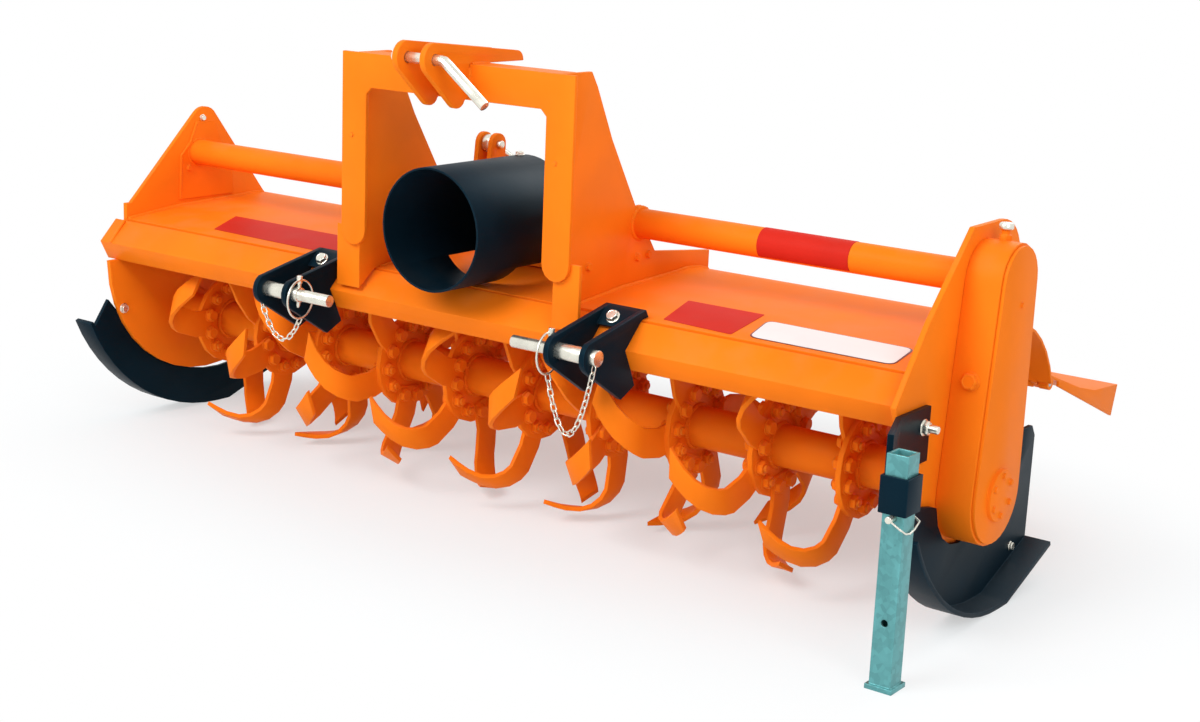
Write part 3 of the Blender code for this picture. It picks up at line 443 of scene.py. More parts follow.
def piece(name, shapes, finish, body, sharp=35.0):
    """Link shapes made in a bmesh as one piece that rides on a body."""
    mesh = bpy.data.meshes.new(name)
    bmesh.ops.recalc_face_normals(shapes, faces=shapes.faces)
    shapes.to_mesh(mesh)
    shapes.free()
    obj = bpy.data.objects.new(name, mesh)
    bpy.context.scene.collection.objects.link(obj)
    mesh.materials.append(bpy.data.materials[finish])
    mesh.shade_smooth()
    mesh.set_sharp_from_angle(angle=math.radians(sharp))
    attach(obj, body)
    return obj


def bridge(shapes, one, two):
    """Faces between two rings of vertices."""
    for k in range(len(one)):
        n = (k + 1) % len(one)
        shapes.faces.new((one[k], one[n], two[n], two[k]))


def skin(shapes, loops, capped=True):
    """Faces along a row of rings and, if capped, over its two ends."""
    for one, two in zip(loops, loops[1:]):
        bridge(shapes, one, two)
    if capped:
        shapes.faces.new(loops[0][::-1])
        shapes.faces.new(loops[-1])


def turned(shapes, rings, place, direction, sides=24):
    """Add a closed turned solid. A ring is (radius, height, corners): 0 corners is round."""
    turn = Vector((0, 0, 1)).rotation_difference(Vector(direction)).to_matrix().to_4x4()
    turn = Matrix.Translation(Vector(place)) @ turn
    loops = []
    for radius, height, corners in rings:
        loop = []
        for k in range(sides):
            a = 2 * math.pi * k / sides
            reach = radius
            if corners:
                step = 2 * math.pi / corners
                reach = radius / math.cos(a % step - step / 2)
            loop.append(shapes.verts.new(turn @ Vector((reach * math.cos(a),
                                                        reach * math.sin(a), height))))
        loops.append(loop)
    skin(shapes, loops)


def washer_rings(thread):
    """The rings of a washer, with which a turned head or nut begins."""
    thick = thread * WASHER_SHARE
    return [(thread * 1.02, 0, 0), (thread * 1.06, thick * 0.3, 0),
            (thread * 1.06, thick * 0.8, 0), (thread * 1.0, thick, 0)]


def bolt_head(shapes, place, direction, thread):
    """Add a hexagon head on its washer; the place is where the washer lies."""
    flat = thread * FLAT_SHARE
    washer = thread * WASHER_SHARE
    top = washer + thread * 0.62
    rings = washer_rings(thread)
    rings += [(flat, washer, 6), (flat, top - thread * 0.10, 6), (flat * 0.93, top, 0),
              (flat * 0.80, top, 0), (flat * 0.76, top - thread * 0.03, 0)]
    turned(shapes, rings, place, direction)


def bolt_ring(shapes, centre, direction, radius, count, thread):
    """Add bolt heads on a circle round an axis that lies along X or Y."""
    across = Vector((0, 1, 0)) if direction[0] else Vector((1, 0, 0))
    for k in range(count):
        a = math.pi * (2 * k + 1) / count
        place = Vector(centre) + (across * math.cos(a) + Vector((0, 0, math.sin(a)))) * radius
        bolt_head(shapes, place, direction, thread)


def nut(shapes, place, direction, thread):
    """Add a hexagon nut on its washer with the bolt's end through it."""
    flat = thread * FLAT_SHARE
    washer = thread * WASHER_SHARE
    top = washer + thread * 0.78
    rings = washer_rings(thread)
    rings += [(flat * 0.94, washer, 0), (flat, washer + thread * 0.09, 6),
              (flat, top - thread * 0.09, 6), (flat * 0.93, top, 0), (thread * 0.50, top, 0)]
    for k in range(4):
        level = top + thread * 0.07 * k
        rings += [(thread * 0.46, level + thread * 0.02, 0),
                  (thread * 0.50, level + thread * 0.05, 0)]
    rings += [(thread * 0.40, top + thread * 0.33, 0)]
    turned(shapes, rings, place, direction)


def sweep(shapes, points, radius, sides=8, closed=False):
    """Add a round bar along points; radius is a number or a function of the point's index."""
    points = [Vector(p) for p in points]
    count = len(points)
    size = radius if callable(radius) else (lambda i: radius)
    loops = []
    up = None
    for i, point in enumerate(points):
        before = points[i - 1] if i or closed else point
        after = points[(i + 1) % count] if i + 1 < count or closed else point
        along = (after - before).normalized()
        if up is None:
            up = along.orthogonal().normalized()
        up = (up - along * up.dot(along)).normalized()
        side = along.cross(up)
        loops.append([shapes.verts.new(point + (up * math.cos(a) + side * math.sin(a)) * size(i))
                      for a in (2 * math.pi * k / sides for k in range(sides))])
    skin(shapes, loops, capped=not closed)
    if closed:
        first, last = loops[0], loops[-1]
        shift = min(range(sides), key=lambda s: (last[0].co - first[s].co).length)
        bridge(shapes, last, first[shift:] + first[:shift])


def circle(centre, radius, axis, count):
    """Points on a circle about an axis."""
    axis = Vector(axis).normalized()
    one = axis.orthogonal().normalized()
    two = axis.cross(one)
    points = []
    for k in range(count):
        a = math.radians(360.0 * k / count)
        points.append(Vector(centre) + (one * math.cos(a) + two * math.sin(a)) * radius)
    return points


def dense(points, step):
    """Points filled in along a broken line."""
    made = []
    for one, two in zip(points, points[1:]):
        one, two = Vector(one), Vector(two)
        count = max(1, round((two - one).length / step))
        made += [one.lerp(two, k / count) for k in range(count)]
    return made + [Vector(points[-1])]


def weld(shapes, points, radius, closed, seed):
    """Add a weld bead with its ripples."""
    chance = random.Random(seed)
    wobble = [chance.uniform(-0.10, 0.10) for _ in points]
    sweep(shapes, points, lambda i: radius * (0.92 + 0.16 * (i % 2) + wobble[i]), 8, closed)


def weld_ring(shapes, centre, ring_radius, radius, seed):
    """Add a bead round a tube that lies along X."""
    count = round(2 * math.pi * ring_radius / RIPPLE)
    weld(shapes, circle(centre, ring_radius, (1, 0, 0), count), radius, True, seed)


def weld_line(shapes, points, radius, seed):
    """Add a bead along a broken line."""
    weld(shapes, dense(points, RIPPLE), radius, False, seed)


def drop(name, x, y):
    """Where a plumb line from above meets a CAD node, and the face's normal."""
    obj = NODES[name]
    hit, place, normal, _ = obj.ray_cast(Vector((x, y, 3.0)), Vector((0, 0, -1)))
    if not hit:
        raise ValueError("nothing of %s under %.3f, %.3f" % (name, x, y))
    return place, normal


def link_points(centre, along, across):
    """Centre line of one oval chain link."""
    steps = 6
    straight = (LINK_LENGTH - LINK_WIDTH) / 2
    points = []
    for end, start in ((1, -90), (-1, 90)):
        for k in range(steps + 1):
            a = math.radians(start + 180 * k / steps)
            points.append(Vector(centre) + along * (end * straight + math.cos(a) * LINK_WIDTH / 2)
                          + across * math.sin(a) * LINK_WIDTH / 2)
    return points


def chain(shapes, start, end, sag, wire):
    """Add a hanging chain of oval links between two points."""
    start, end = Vector(start), Vector(end)
    line = []
    for k in range(61):
        t = k / 60
        line.append(start.lerp(end, t) + Vector((0, 0, -4 * sag * t * (1 - t))))
    pitch = LINK_LENGTH - 2.2 * wire
    total = sum((b - a).length for a, b in zip(line, line[1:]))
    count = max(2, round(total / pitch))
    stops = []
    walked, target = 0.0, 0.0
    for a, b in zip(line, line[1:]):
        step = (b - a).length
        while target <= walked + step and len(stops) <= count:
            stops.append(a.lerp(b, (target - walked) / step))
            target += total / count
        walked += step
    if len(stops) <= count:
        stops.append(line[-1])
    for k, (a, b) in enumerate(zip(stops, stops[1:])):
        along = (b - a).normalized()
        flat = along.cross(Vector((0.3, 1, 0.1))).normalized()
        across = flat if k % 2 else along.cross(flat)
        sweep(shapes, link_points((a + b) / 2, along, across), wire, 6, True)


def linch_pin(shapes, place, facing):
    """Add a linch pin, a headed peg with its sprung ring; returns the ring's lowest point."""
    place = Vector(place)
    peg = [(0.0035, 0.036, 0), (0.0056, 0.035, 0), (0.0056, 0.022, 0), (0.0040, 0.020, 0),
           (0.0040, -0.020, 0), (0.0018, -0.024, 0)]
    turned(shapes, peg, place, (0.0, 0.08, 1.0), 16)
    centre = place + Vector((facing * 0.004, 0.0, -0.008))
    sweep(shapes, circle(centre, RING_R, (1.0, 0.10, 0.0), 40), RING_WIRE, 8, True)
    return centre - Vector((0, 0, RING_R))


class TILLER_OT_finishes(bpy.types.Operator):
    """Make the enamel, metal and decal materials"""
    bl_idname = "tiller.finishes"
    bl_label = "Finishes"

    def execute(self, context):
        look = context.scene.tiller_finish
        rounded_edge_group()
        grain_group()
        dust_group()
        # Painted highlight: each finish's rounded edges are painted lighter, in the given edge
        # colour or a lighter shade of its own colour
        finish_material("orange_paint", look.orange, look.gloss, specular=0.05, tone=0.05,
                        edge=0.35, edge_highlight_colour=(1.0, 0.33, 0.06), dust=0.06, bump=0.10)
        # painted reflection: the black enamel's reflections are tinted blue, standing for bluish
        # light, as plain enamel reflects white
        finish_material("black_paint", look.black, look.gloss, specular=0.10,
                        reflection_tint=(0.10, 0.55, 0.85), tone=0.25, edge=0.5,
                        edge_highlight_colour=(0.05, 0.10, 0.14), dust=0.01, bump=0.12)
        finish_material("zinc_plate", look.zinc, 0.26, metallic=0.9, tone=0.08, edge=0.3,
                        dust=0.05, bump=0.10, fine=1400.0, coarse=40.0)
        finish_material("bare_steel", look.bare, 0.34, metallic=1.0, tone=0.15, edge=0.4,
                        dust=0.05, bump=0.15, fine=1600.0, coarse=30.0)
        finish_material("decal_red", look.decal_red, 0.50, specular=0.06, tone=0.06, edge=0.0,
                        dust=0.03, bump=0.02)
        finish_material("decal_white", look.decal_white, 0.40, specular=0.3, tone=0.03, edge=0.0,
                        dust=0.03, bump=0.02)
        finish_material("decal_dark", shade(look.decal_red, 0.25), 0.35, tone=0.10, edge=0.0,
                        dust=0.05, bump=0.02)
        spangle_material("galvanised", look.galvanised)
        return {"FINISHED"}


class TILLER_OT_steelwork(bpy.types.Operator):
    """Paint the machine's own solids and round their edges"""
    bl_idname = "tiller.steelwork"
    bl_label = "Steelwork"

    def execute(self, context):
        edge = context.scene.tiller_detail.edge
        black = ["pto_guard", "skid_left", "skid_right", "stand_bracket",
                 "lower_bracket_left", "lower_bracket_right"]
        zinc = ["top_link_pin", "lower_pin_left", "lower_pin_right", "adjuster_pin",
                "adjuster_rod", "board_pin", "stand_pin"]
        for name in NODES:
            if name in black:
                dress(name, "black_paint", edge)
            elif name in zinc:
                dress(name, "zinc_plate", edge / 2)
            elif name == "stand_leg":
                dress(name, "galvanised", edge)
            elif name in ("input_shaft", "hinge_rod"):
                dress(name, "bare_steel", edge / 2)
            else:
                dress(name, "orange_paint", edge)
        return {"FINISHED"}


class TILLER_OT_rotor_bolts(bpy.types.Operator):
    """Bolt the blades to the rotor's flanges and weld the flanges to the tube"""
    bl_idname = "tiller.rotor_bolts"
    bl_label = "Rotor bolts and welds"

    def execute(self, context):
        sizes = context.scene.tiller_detail
        tube_r = (high("rotor_tube").z - low("rotor_tube").z) / 2
        circle_r = sizes.bolt_circle
        for k in range(len(FLANGES)):
            x = flange_x(k)
            shapes = bmesh.new()
            for side, sign in enumerate((-1, 1)):
                bare = (k == 0 and sign < 0) or (k == len(FLANGES) - 1 and sign > 0)
                for b in range(BLADES_A_SIDE):
                    phase = 360.0 / BLADES_A_SIDE * (b + side / 2) + PHASE_STEP * k
                    for turn in BLADE_HOLES:
                        a = math.radians(phase + turn)
                        hole = Vector((x, ROTOR.y + circle_r * math.cos(a),
                                       ROTOR.z + circle_r * math.sin(a)))
                        stack = FLANGE_T / 2 + (0 if bare else BLADE_T - 0.001)
                        bolt_head(shapes, hole + Vector((sign * (stack - SINK), 0, 0)),
                                  (sign, 0, 0), sizes.blade_bolt)
                        nut(shapes, hole - Vector((sign * (FLANGE_T / 2 - SINK), 0, 0)),
                            (-sign, 0, 0), sizes.blade_bolt)
                seam = (x + sign * (FLANGE_T / 2 + WELD_STANDOFF), ROTOR.y, ROTOR.z)
                weld_ring(shapes, seam, tube_r + WELD_STANDOFF, sizes.weld, k + side)
            piece("rotor_bolts_%02d" % (k + 1), shapes, "orange_paint", "rotor")
        return {"FINISHED"}


class TILLER_OT_frame_welds(bpy.types.Operator):
    """Weld the tube, walls, plates and hitch"""
    bl_idname = "tiller.frame_welds"
    bl_label = "Frame welds"

    def execute(self, context):
        bead = context.scene.tiller_detail.weld
        deck_front = low("hood").y
        wall_rear = high("tower_wall_left").y - 0.006
        plate_rear = high("end_plate_left").y - 0.030
        shapes = bmesh.new()
        for side, sign in SIDES:
            plate = PLATE_FACE[side]
            inner = low("tower_wall_right").x if sign > 0 else high("tower_wall_left").x
            outer = inner + sign * WALL_T
            box_face = high("gearbox").x if sign > 0 else low("gearbox").x
            for k, x in enumerate((plate, inner, outer, box_face)):
                weld_ring(shapes, (x, TUBE.y, TUBE.z), TUBE_R + WELD_STANDOFF, bead, 11 + k)
            seams = (
                # face along the deck, welded side, front end, rear end
                (inner, -sign, deck_front + 0.008, wall_rear),
                (outer, sign, deck_front + 0.008, wall_rear),
                (plate, -sign, deck_front + 0.002, plate_rear),
            )
            for face, away, front, rear in seams:
                line = [drop("hood", face + away * 0.002, front + (rear - front) * k / 16)[0]
                        for k in range(17)]
                weld_line(shapes, line, bead, 31)
            ridge = spot(0, *BEAM_RIDGE)
            line = [(plate - sign * 0.002, ridge.y + BEAM_SLOPE, high("front_beam").z),
                    (plate - sign * 0.002, ridge.y, ridge.z)]
            weld_line(shapes, line, bead * 0.8, 37)
        piece("frame_welds", shapes, "orange_paint", "frame")
        shapes = bmesh.new()
        top = high("hitch_portal").z
        front = low("hitch_portal").y
        rear = high("hitch_portal").y
        for side, _ in SIDES:
            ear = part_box("top_link_ear_" + side)
            for x in (ear[0].x, ear[1].x):
                over = [(x, front + 0.004, top), (x, rear - 0.004, top)]
                before = [(x, front, top - 0.006), (x, front, top - 0.052)]
                weld_line(shapes, over, bead * 0.9, 41)
                weld_line(shapes, before, bead * 0.9, 43)
        piece("hitch_welds", shapes, "orange_paint", "frame")
        shapes = bmesh.new()
        outline = DOUBLER_FRONT + DOUBLER_REST
        face = PLATE_FACE["left"]
        layers = [[shapes.verts.new((x, ORIGIN.y + y, z)) for y, z in outline]
                  for x in (face, face + DOUBLER_T)]
        skin(shapes, layers)
        line = [(face + WELD_STANDOFF, ORIGIN.y + y, z) for y, z in DOUBLER_FRONT]
        weld_line(shapes, line, bead * 0.7, 47)
        piece("plate_doubler_left", shapes, "orange_paint", "frame")
        return {"FINISHED"}


class TILLER_OT_input_shaft(bpy.types.Operator):
    """Replace the plain input shaft by a splined one"""
    bl_idname = "tiller.input_shaft"
    bl_label = "Input shaft"

    def execute(self, context):
        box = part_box("input_shaft")
        centre = middle("input_shaft")
        radius = (box[1].z - box[0].z) / 2
        shapes = bmesh.new()
        sides = 96
        grooves = 6
        groove_depth = 0.84      # share of the radius that a groove leaves
        stations = (
            # share of the length from the front, radius share, splined
            (0.0, 0.86, True), (0.03, 1.0, True), (0.30, 1.0, True), (0.32, 0.84, False),
            (0.40, 0.84, False), (0.42, 1.0, True), (0.78, 1.0, True), (0.84, 1.0, False),
            (1.0, 1.0, False),
        )
        loops = []
        for share, size, splined in stations:
            loop = []
            for k in range(sides):
                a = 2 * math.pi * k / sides
                wave = (k * grooves / sides) % 1.0
                groove = groove_depth if splined and 0.30 < wave < 0.70 else 1.0
                reach = radius * size * groove
                y = box[0].y + (box[1].y - box[0].y) * share
                loop.append(shapes.verts.new((centre.x + reach * math.cos(a), y,
                                              centre.z + reach * math.sin(a))))
            loops.append(loop)
        skin(shapes, loops)
        made = piece("splined_shaft", shapes, "bare_steel", "input_shaft", 25)
        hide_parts("input_shaft")
        return {"FINISHED"}


class TILLER_OT_case_fittings(bpy.types.Operator):
    """Bolts, plug and breather of the drive case, and the bolts of plates, bearing and tower"""
    bl_idname = "tiller.case_fittings"
    bl_label = "Case fittings"

    def execute(self, context):
        shapes = bmesh.new()
        boss = high("drive_case_cover").x - SINK
        bolt_ring(shapes, (boss, ROTOR.y, ROTOR.z), (1, 0, 0), 0.034, 6, 0.006)
        y, z, thread = COVER_SCREW
        bolt_head(shapes, (boss - COVER_STEP, ORIGIN.y + y, z), (1, 0, 0), thread)
        bolt_head(shapes, spot(*CASE_PLUG[:3]), (0, -0.99, 0.11), CASE_PLUG[3])
        bearing = low("rotor_bearing_left").x + BEARING_CAP_T + SINK
        bolt_ring(shapes, (bearing, ROTOR.y, ROTOR.z), (-1, 0, 0), 0.052, 4, 0.008)
        foot = spot(*BREATHER, high("drive_case").z)
        turned(shapes, [(0.009, -0.002, 6), (0.009, 0.007, 6), (0.0085, 0.008, 0),
                        (0.007, 0.009, 0), (0.007, 0.017, 0)], foot, (0, 0, 1))
        piece("case_bolts", shapes, "orange_paint", "frame")
        shapes = bmesh.new()
        turned(shapes, [(0.010, 0.0165, 0), (0.012, 0.018, 0), (0.012, 0.024, 0),
                        (0.010, 0.027, 0), (0.004, 0.028, 0)], foot, (0, 0, 1))
        piece("case_breather", shapes, "zinc_plate", "frame")
        shapes = bmesh.new()
        for y, z, thread in LEFT_PLATE_BOLTS:
            bolt_head(shapes, (PLATE_FACE["left"] - SINK, ORIGIN.y + y, z), (1, 0, 0), thread)
        y, z, thread = RIGHT_PLATE_BOLT
        bolt_head(shapes, (high("end_plate_right").x - SINK, ORIGIN.y + y, z), (1, 0, 0), thread)
        bolt_head(shapes, spot(*SKID_BOLT[:3]), (1, 0, 0), SKID_BOLT[3])
        piece("plate_bolts", shapes, "zinc_plate", "frame")
        shapes = bmesh.new()
        y, z, thread = DOUBLER_BOLT
        doubler = PLATE_FACE["left"] + DOUBLER_T
        bolt_head(shapes, (doubler - SINK, ORIGIN.y + y, z), (1, 0, 0), thread)
        wall = low("tower_wall_right").x + WALL_T
        for y, z in WALL_BOLTS:
            bolt_head(shapes, (wall - SINK, ORIGIN.y + y, z), (1, 0, 0), WALL_THREAD)
        front = low("hitch_portal").y
        for x, z in POST_SCREWS:
            bolt_head(shapes, (ORIGIN.x + x, front + SINK, z), (0, -1, 0), 0.004)
        piece("painted_bolts", shapes, "orange_paint", "frame")
        return {"FINISHED"}


class TILLER_OT_hitch_fittings(bpy.types.Operator):
    """Linch pins, rings, chains and bolts of the lower hitch points"""
    bl_idname = "tiller.hitch_fittings"
    bl_label = "Hitch fittings"

    def execute(self, context):
        wire = context.scene.tiller_detail.chain_wire
        for side, sign in SIDES:
            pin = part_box("lower_pin_" + side)
            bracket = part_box("lower_bracket_" + side)
            centre = middle("lower_pin_" + side)
            inner = (bracket[0].x if sign > 0 else bracket[1].x) - sign * LINCH_OFF
            outer = (pin[1].x if sign > 0 else pin[0].x) - sign * 0.004
            shapes = bmesh.new()
            foot = linch_pin(shapes, (inner, centre.y, centre.z), -sign)
            eye = Vector((outer, centre.y - 0.006, centre.z - 0.012))
            chain(shapes, foot, eye, CHAIN_SAG[side], wire)
            piece("linch_pin_" + side, shapes, "zinc_plate", "frame")
            shapes = bmesh.new()
            x = middle("lower_bracket_" + side).x + BRACKET_BOLT[0]
            hit, normal = drop("lower_bracket_" + side, x, ORIGIN.y + BRACKET_BOLT[1])
            bolt_head(shapes, hit - normal * SINK_LIGHT, normal, BRACKET_BOLT[2])
            piece("bracket_bolt_" + side, shapes, "zinc_plate", "frame")
        return {"FINISHED"}


class TILLER_OT_driveline_fittings(bpy.types.Operator):
    """Bolts and rear cap of the gearbox, and the bolts of the guard"""
    bl_idname = "tiller.driveline_fittings"
    bl_label = "Driveline fittings"

    def execute(self, context):
        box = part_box("gearbox")
        axis = middle("input_shaft")
        rear = box[1].y - SINK_LIGHT
        shapes = bmesh.new()
        for sign in (-1, 1):
            x = (box[1].x if sign > 0 else box[0].x) - sign * SINK_LIGHT
            bolt_ring(shapes, (x, middle("gearbox").y, TUBE.z), (sign, 0, 0), 0.062, 6, 0.008)
        bolt_ring(shapes, (axis.x, rear, axis.z), (0, 1, 0), 0.055, 8, 0.008)
        turned(shapes, [(0.066, 0, 0), (0.068, 0.002, 0), (0.068, 0.006, 0), (0.066, 0.008, 0),
                        (0.044, 0.008, 0), (0.040, 0.012, 0)],
               (axis.x, box[1].y - 0.001, axis.z), (0, 1, 0), 48)
        piece("gearbox_bolts", shapes, "orange_paint", "frame")
        shapes = bmesh.new()
        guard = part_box("pto_guard")
        radius = guard[1].x - axis.x
        rim = Vector((axis.x, guard[1].y - GUARD_BOLT_INSET, axis.z))
        for angle in GUARD_BOLT_ANGLES:
            a = math.radians(angle)
            out = Vector((math.cos(a), 0, math.sin(a)))
            bolt_head(shapes, rim + out * (radius - SINK_LIGHT), out, 0.009)
        piece("guard_bolts", shapes, "zinc_plate", "frame")
        return {"FINISHED"}


class TILLER_OT_stand_fittings(bpy.types.Operator):
    """Bail of the stand's pin and the bolt of its bracket"""
    bl_idname = "tiller.stand_fittings"
    bl_label = "Stand fittings"

    def execute(self, context):
        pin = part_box("stand_pin")
        centre = middle("stand_pin")
        shapes = bmesh.new()
        aside = 0.0205           # the wire passes beside the leg
        sag = 0.012
        inset = 0.004
        reach = pin[1].y - pin[0].y - 2 * inset
        bail = [(centre.x, pin[0].y + 0.003, centre.z)]
        for share in (0.0, 0.25, 0.5, 0.75, 1.0):
            below = sag + sag * math.sin(math.pi * share)
            bail.append((centre.x + aside, pin[0].y + inset + reach * share, centre.z - below))
        bail.append((centre.x, pin[1].y - 0.003, centre.z))
        sweep(shapes, bail, 0.0017)
        piece("stand_bail", shapes, "zinc_plate", "stand")
        shapes = bmesh.new()
        plate_face = high("end_plate_right").x + STAND_PLATE_T
        y, z, thread = STAND_BOLT
        seat = Vector((plate_face - SINK_LIGHT, ORIGIN.y + y, z))
        bolt_head(shapes, seat, (1, 0, 0), thread)
        turned(shapes, [(0.007, 0.004, 0), (0.007, 0.024, 0), (0.006, 0.026, 0)], seat, (1, 0, 0))
        piece("stand_bolt", shapes, "zinc_plate", "frame")
        return {"FINISHED"}


def deck_patch(name, corners, rounding, lift, finish, film):
    """Add a thin decal that follows the hood's deck; corners are (x, y) in the machine's frame."""
    steps = 6
    corners = [Vector(c) for c in corners]
    outline = []
    for i, here in enumerate(corners):
        before = (corners[i - 1] - here).normalized()
        after = (corners[(i + 1) % len(corners)] - here).normalized()
        for k in range(steps + 1):
            t = k / steps
            one = here + before * rounding * (1 - t) ** 2
            outline.append(one + after * rounding * t ** 2)
    shapes = bmesh.new()
    layers = []
    for level in (lift, lift + film):
        loop = []
        for point in outline:
            place, normal = drop("hood", ORIGIN.x + point.x, ORIGIN.y + point.y)
            loop.append(shapes.verts.new(place + normal * level))
        layers.append(loop)
    skin(shapes, layers)
    return piece(name, shapes, finish, "frame")


class TILLER_OT_decals(bpy.types.Operator):
    """Blank decals on the deck and on the right tube"""
    bl_idname = "tiller.decals"
    bl_label = "Decals"

    def execute(self, context):
        film = context.scene.tiller_detail.film
        patches = (
            # name, corners, rounding, lift, finish
            ("decal_deck_right", DECK_RED_RIGHT, 0.003, film, "decal_red"),
            ("decal_deck_left", DECK_RED_LEFT, 0.003, film, "decal_red"),
            ("decal_plate_rim", DECK_PLATE_RIM, 0.018, film, "decal_dark"),
            ("decal_plate", DECK_PLATE, 0.017, 2 * film + 0.0001, "decal_white"),
        )
        for name, corners, rounding, lift, finish in patches:
            deck_patch(name, corners, rounding, lift, finish, film)
        shapes = bmesh.new()
        stations = 24
        rows = []
        for x in TUBE_BAND:
            for radius in (TUBE_R + film, TUBE_R + 2 * film):
                row = []
                for k in range(stations + 1):
                    a = math.radians(TUBE_BAND_START + TUBE_BAND_TURN * k / stations)
                    row.append(shapes.verts.new((ORIGIN.x + x, TUBE.y + radius * math.cos(a),
                                                 TUBE.z + radius * math.sin(a))))
                rows.append(row)
        for one, two in ((0, 1), (1, 3), (3, 2), (2, 0)):
            for k in range(stations):
                shapes.faces.new((rows[one][k], rows[one][k + 1], rows[two][k + 1], rows[two][k]))
        for k in (0, stations):
            shapes.faces.new((rows[0][k], rows[1][k], rows[3][k], rows[2][k]))
        piece("decal_tube", shapes, "decal_red", "frame")
        return {"FINISHED"}


def seen_ray(tree):
    """1 where a ray shows the background: to the camera, in a mirror or through glass."""
    ray = node(tree, "LightPath")
    glossy, clear = ray.outputs["Is Glossy Ray"], ray.outputs["Is Transmission Ray"]
    mirrored = maths(tree, "MAXIMUM", glossy, clear)
    return maths(tree, "MAXIMUM", ray.outputs["Is Camera Ray"], mirrored)


def floor_material():
    """Pale floor that keeps the tiller's shadow and turns plain white away from it."""
    made = bpy.data.materials.new("pale_floor")
    made.use_nodes = True
    tree = made.node_tree
    shader = tree.nodes["Principled BSDF"]
    shader.inputs["Base Color"].default_value = (0.84, 0.92, 0.95, 1.0)
    shader.inputs["Roughness"].default_value = 0.9
    shader.inputs["Specular IOR Level"].default_value = 0.1
    place = node(tree, "NewGeometry")
    squashed = node(tree, "VectorMath", operation="MULTIPLY")
    squashed.inputs[1].default_value = (0.62, 1.0, 0.0)
    link(tree, place.outputs["Position"], squashed.inputs[0])
    reach = node(tree, "VectorMath", operation="LENGTH")
    link(tree, squashed.outputs[0], reach.inputs[0])
    away = span(tree, reach.outputs["Value"], 0.45, 1.05, 0.45, 1.0)
    white = node(tree, "Emission", Strength=1.0)
    blend = node(tree, "MixShader")
    link(tree, maths(tree, "MULTIPLY", away, seen_ray(tree)), blend.inputs[0])
    link(tree, shader.outputs[0], blend.inputs[1])
    link(tree, white.outputs[0], blend.inputs[2])
    link(tree, blend.outputs[0], tree.nodes["Material Output"].inputs["Surface"])
    return made


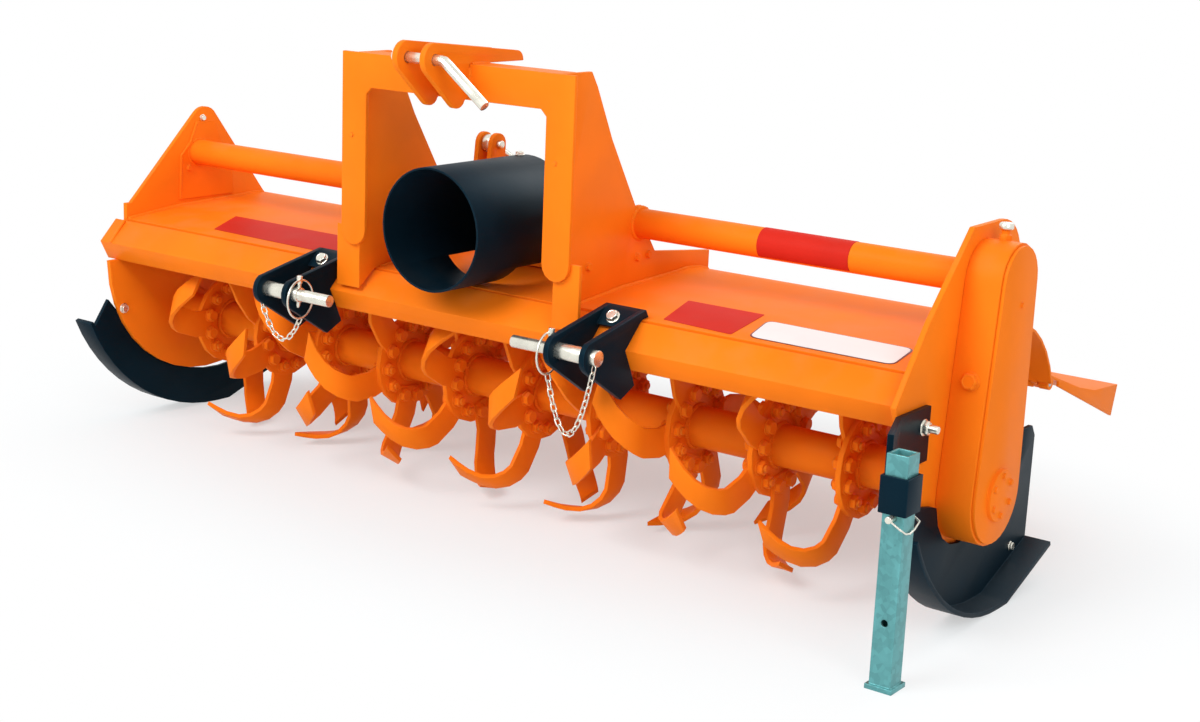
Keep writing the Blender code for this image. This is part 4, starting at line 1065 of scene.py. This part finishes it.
class TILLER_OT_stage(bpy.types.Operator):
    """Pale floor, soft lamps and the camera"""
    bl_idname = "tiller.stage"
    bl_label = "Stage"

    def execute(self, context):
        stage = context.scene.tiller_stage
        scene = context.scene
        floor_shape = bmesh.new()
        bmesh.ops.create_grid(floor_shape, x_segments=1, y_segments=1, size=40.0)
        mesh = bpy.data.meshes.new("floor")
        floor_shape.to_mesh(mesh)
        floor_shape.free()
        floor = bpy.data.objects.new("floor", mesh)
        scene.collection.objects.link(floor)
        mesh.materials.append(floor_material())
        lamps = (
            # name, place, size, power share
            ("key_lamp", (-0.9, -3.9, 3.7), 3.0, 1.0),
            ("fill_lamp", (3.4, -2.4, 2.6), 2.5, 0.35),
            ("rear_lamp", (0.6, 3.4, 3.2), 3.0, 0.45),
        )
        for name, place, size, share in lamps:
            data = bpy.data.lights.new(name, "AREA")
            data.shape = "DISK"
            data.size = size
            data.energy = stage.key * share
            lamp = bpy.data.objects.new(name, data)
            lamp.location = place
            aim = Vector((0, 0, 0.4)) - Vector(place)
            lamp.rotation_euler = aim.to_track_quat("-Z", "Y").to_euler()
            scene.collection.objects.link(lamp)
        world = bpy.data.worlds.new("studio")
        world.use_nodes = True
        scene.world = world
        tree = world.node_tree
        strength = node(tree, "MapRange")
        link(tree, seen_ray(tree), strength.inputs[0])
        strength.inputs["To Min"].default_value = stage.ambient
        strength.inputs["To Max"].default_value = 1.0
        background = tree.nodes["Background"]
        background.inputs["Color"].default_value = (1.0, 1.0, 1.0, 1.0)
        link(tree, strength.outputs[0], background.inputs["Strength"])
        data = bpy.data.cameras.new("photo_camera")
        data.lens = stage.lens
        data.clip_end = 100.0
        camera = bpy.data.objects.new("photo_camera", data)
        turn, rise = stage.azimuth, stage.elevation
        level = math.cos(rise)
        back = Vector((math.sin(turn) * level, -math.cos(turn) * level, math.sin(rise)))
        right = Vector((0, 0, 1)).cross(back).normalized()
        up = back.cross(right)
        tilted = right * math.cos(stage.roll) + up * math.sin(stage.roll)
        upright = up * math.cos(stage.roll) - right * math.sin(stage.roll)
        turned_to = Matrix((tilted, upright, back)).transposed().to_4x4()
        camera.matrix_world = Matrix.Translation(ORIGIN + Vector(stage.place)) @ turned_to
        scene.collection.objects.link(camera)
        scene.camera = camera
        scene.view_settings.view_transform = "Standard"
        return {"FINISHED"}


STEPS = (
    TILLER_OT_finishes, TILLER_OT_steelwork, TILLER_OT_rotor_bolts, TILLER_OT_frame_welds,
    TILLER_OT_input_shaft, TILLER_OT_case_fittings, TILLER_OT_hitch_fittings,
    TILLER_OT_driveline_fittings, TILLER_OT_stand_fittings, TILLER_OT_decals, TILLER_OT_stage,
)
GROUPS = (TillerFinish, TillerDetail, TillerStage)


class TILLER_PT_panel(bpy.types.Panel):
    """Sidebar panel with the tiller's steps"""
    bl_idname = "TILLER_PT_panel"
    bl_label = "Rotary tiller"
    bl_space_type = "VIEW_3D"
    bl_region_type = "UI"
    bl_category = "Tiller"

    def draw(self, context):
        for group in ("tiller_finish", "tiller_detail", "tiller_stage"):
            settings = getattr(context.scene, group)
            for name in settings.__annotations__:
                self.layout.prop(settings, name)
        for step in STEPS:
            self.layout.operator(step.bl_idname)


def register():
    for kind in GROUPS + STEPS + (TILLER_PT_panel,):
        bpy.utils.register_class(kind)
    bpy.types.Scene.tiller_finish = PointerProperty(type=TillerFinish)
    bpy.types.Scene.tiller_detail = PointerProperty(type=TillerDetail)
    bpy.types.Scene.tiller_stage = PointerProperty(type=TillerStage)


def unregister():
    del bpy.types.Scene.tiller_stage
    del bpy.types.Scene.tiller_detail
    del bpy.types.Scene.tiller_finish
    for kind in reversed(GROUPS + STEPS + (TILLER_PT_panel,)):
        bpy.utils.unregister_class(kind)


def main():
    register()
    for step in STEPS:
        group, name = step.bl_idname.split(".")
        getattr(getattr(bpy.ops, group), name)()


if __name__ == "__main__":
    main()
